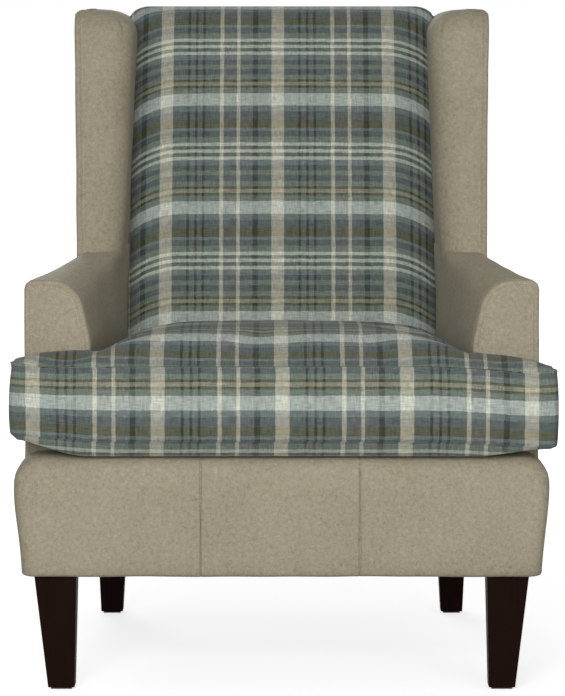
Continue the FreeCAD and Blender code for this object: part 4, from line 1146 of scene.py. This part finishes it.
for label, sign in HANDS:
    for part, maker in (("outside_arm", make_outside_arm), ("outside_wing", make_outside_wing)):
        panel = maker(f"{label}_{part}_leather", sign)
        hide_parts(f"{label}_{part}")
        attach(panel, "chair")
rear_panel = make_outside_back()
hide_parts("outside_back")
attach(rear_panel, "chair")


# Seat deck and dust cover

DECK_FRONT, DECK_REAR, DECK_HIGH, DECK_SWELL = 98.0, 619.0, 344.0, 3.9
DUST_FRONT, DUST_REAR, DUST_HIGH, DUST_SAG = 31.0, 698.0, 169.6, 3.5
# Depths between which the dust cover runs beside the legs, and its half-widths between them
LEG_REAR, REAR_LEG_FRONT = 93, 650
BETWEEN_FRONT_LEGS, BETWEEN_REAR_LEGS = 301, 259


def make_deck():
    """The black cloth under the cushion, a little puffed between its edges."""

    def point(depth, across):
        half = 282.3 - 33 * (depth - 97) / 430
        if depth >= ARM_BEND:
            half = 249.3 - 4 * (depth - ARM_BEND) / 100
        room = min(1 - abs(across), (depth - DECK_FRONT) / 250 + 0.02, 0.2) / 0.2
        return half * across, depth, DECK_HIGH + DECK_SWELL * math.sqrt(max(0, room))

    depths = DECK_FRONT, DECK_REAR, 60
    return surface("seat_deck_lining", depths, (-1, 1, 60), point, LINING)


def make_dust_cover():
    """The black cloth under the seat, between the legs, sagging a little."""

    def point(depth, across):
        half = 355 - 84 * (depth - DUST_FRONT) / 668
        if depth < LEG_REAR:
            half = BETWEEN_FRONT_LEGS
        if depth > REAR_LEG_FRONT:
            half = BETWEEN_REAR_LEGS
        run = math.sin(math.pi * (depth - DUST_FRONT) / (DUST_REAR - DUST_FRONT))
        return half * across, depth, DUST_HIGH - DUST_SAG * (1 - across**2) * run

    depths = DUST_FRONT, DUST_REAR, 60
    return surface("dust_cover_lining", depths, (-1, 1, 50), point, LINING, True)


deck = make_deck()
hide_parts("deck_cloth", "seat_deck_pad")
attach(deck, "chair")
dust = make_dust_cover()
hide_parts("dust_cover")
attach(dust, "chair")


# Camera, floor and light

PICTURE_TALL, FOCAL_PIXELS, SENSOR = 696, 3310.0, 36.0
CAMERA_PLACE, CAMERA_PITCH = (0.0012, -5.2125, 0.9433), 0.0901

camera_data = bpy.data.cameras.new("camera")
camera_data.sensor_width = SENSOR
camera_data.lens = FOCAL_PIXELS / PICTURE_TALL * SENSOR
camera_data.clip_end = 60
camera = bpy.data.objects.new("camera", camera_data)
camera.location = CAMERA_PLACE
camera.rotation_euler = (math.pi / 2 - CAMERA_PITCH, 0, 0)
bpy.context.scene.collection.objects.link(camera)
bpy.context.scene.camera = camera


WHITE = (1, 1, 1, 1)


def backdrop_material():
    """Pale floor that the camera and reflections see as white far off, with its shadows."""
    near, far, near_glow, far_glow = 0.9, 2.6, 0.74, 1.0
    g = Surface("pale_floor")
    g.shade(Base_Color=(0.5, 0.5, 0.5, 1), Roughness=0.9, Specular_IOR_Level=0.1)
    where = g.add("TexCoord").outputs["Object"]
    away = g.add("VectorMath", {0: where}, operation="LENGTH").outputs["Value"]
    grows = {"From Min": near, "From Max": far, "To Min": near_glow, "To Max": far_glow}
    strength = g.add("MapRange", {"Value": away, **grows}).outputs["Result"]
    glow = g.add("Emission", {"Color": WHITE, "Strength": strength})
    dark = g.add("Emission", {"Color": WHITE, "Strength": 0.0})
    both = g.add("AddShader", {0: g.shader.outputs[0], 1: g.unless_seen(dark, glow)})
    g.feed(g.tree.nodes["Material Output"].inputs["Surface"], both.outputs[0])
    return g.material


FLOOR_SIDE, FLOOR_FRONT, FLOOR_REAR = 9000, -9000, 12000
floor_corners = [(-FLOOR_SIDE, FLOOR_FRONT, 0), (FLOOR_SIDE, FLOOR_FRONT, 0)]
floor_corners += [(FLOOR_SIDE, FLOOR_REAR, 0), (-FLOOR_SIDE, FLOOR_REAR, 0)]
floor = mesh_object("floor", floor_corners, [(0, 1, 2, 3)], None, backdrop_material())


def area_light(name, place, aim, wide, power):
    """A soft white square light, in metres and watts."""
    data = bpy.data.lights.new(name, "AREA")
    data.shape = "SQUARE"
    data.size = wide
    data.energy = power
    made = bpy.data.objects.new(name, data)
    made.location = place
    made.rotation_euler = (Vector(aim) - Vector(place)).to_track_quat("-Z", "Y").to_euler()
    bpy.context.scene.collection.objects.link(made)


MIDDLE = (0, 0, 0.5)
area_light("key", (-0.8, -4.4, 1.6), MIDDLE, 1.8, 130)
area_light("fill", (1.7, -3.8, 1.5), MIDDLE, 2.2, 48)
area_light("rear", (-1.1, 4.0, 1.9), MIDDLE, 2.2, 70)
area_light("top", (0, 0.2, 3.6), (0, 0, 0.4), 2.4, 7)

# The world lights the chair faintly, and the camera and reflections see it as white
WORLD_LIGHT, WORLD_SEEN = 0.19, 1.0
world = bpy.data.worlds.new("studio")
world.use_nodes = True
g = Graph(world.node_tree)
g.tree.nodes.clear()
lit = g.add("Background", {"Color": WHITE, "Strength": WORLD_LIGHT})
shown = g.add("Background", {"Color": WHITE, "Strength": WORLD_SEEN})
g.add("OutputWorld", {"Surface": g.unless_seen(lit, shown)})
bpy.context.scene.world = world
bpy.context.scene.view_settings.view_transform = "Standard"
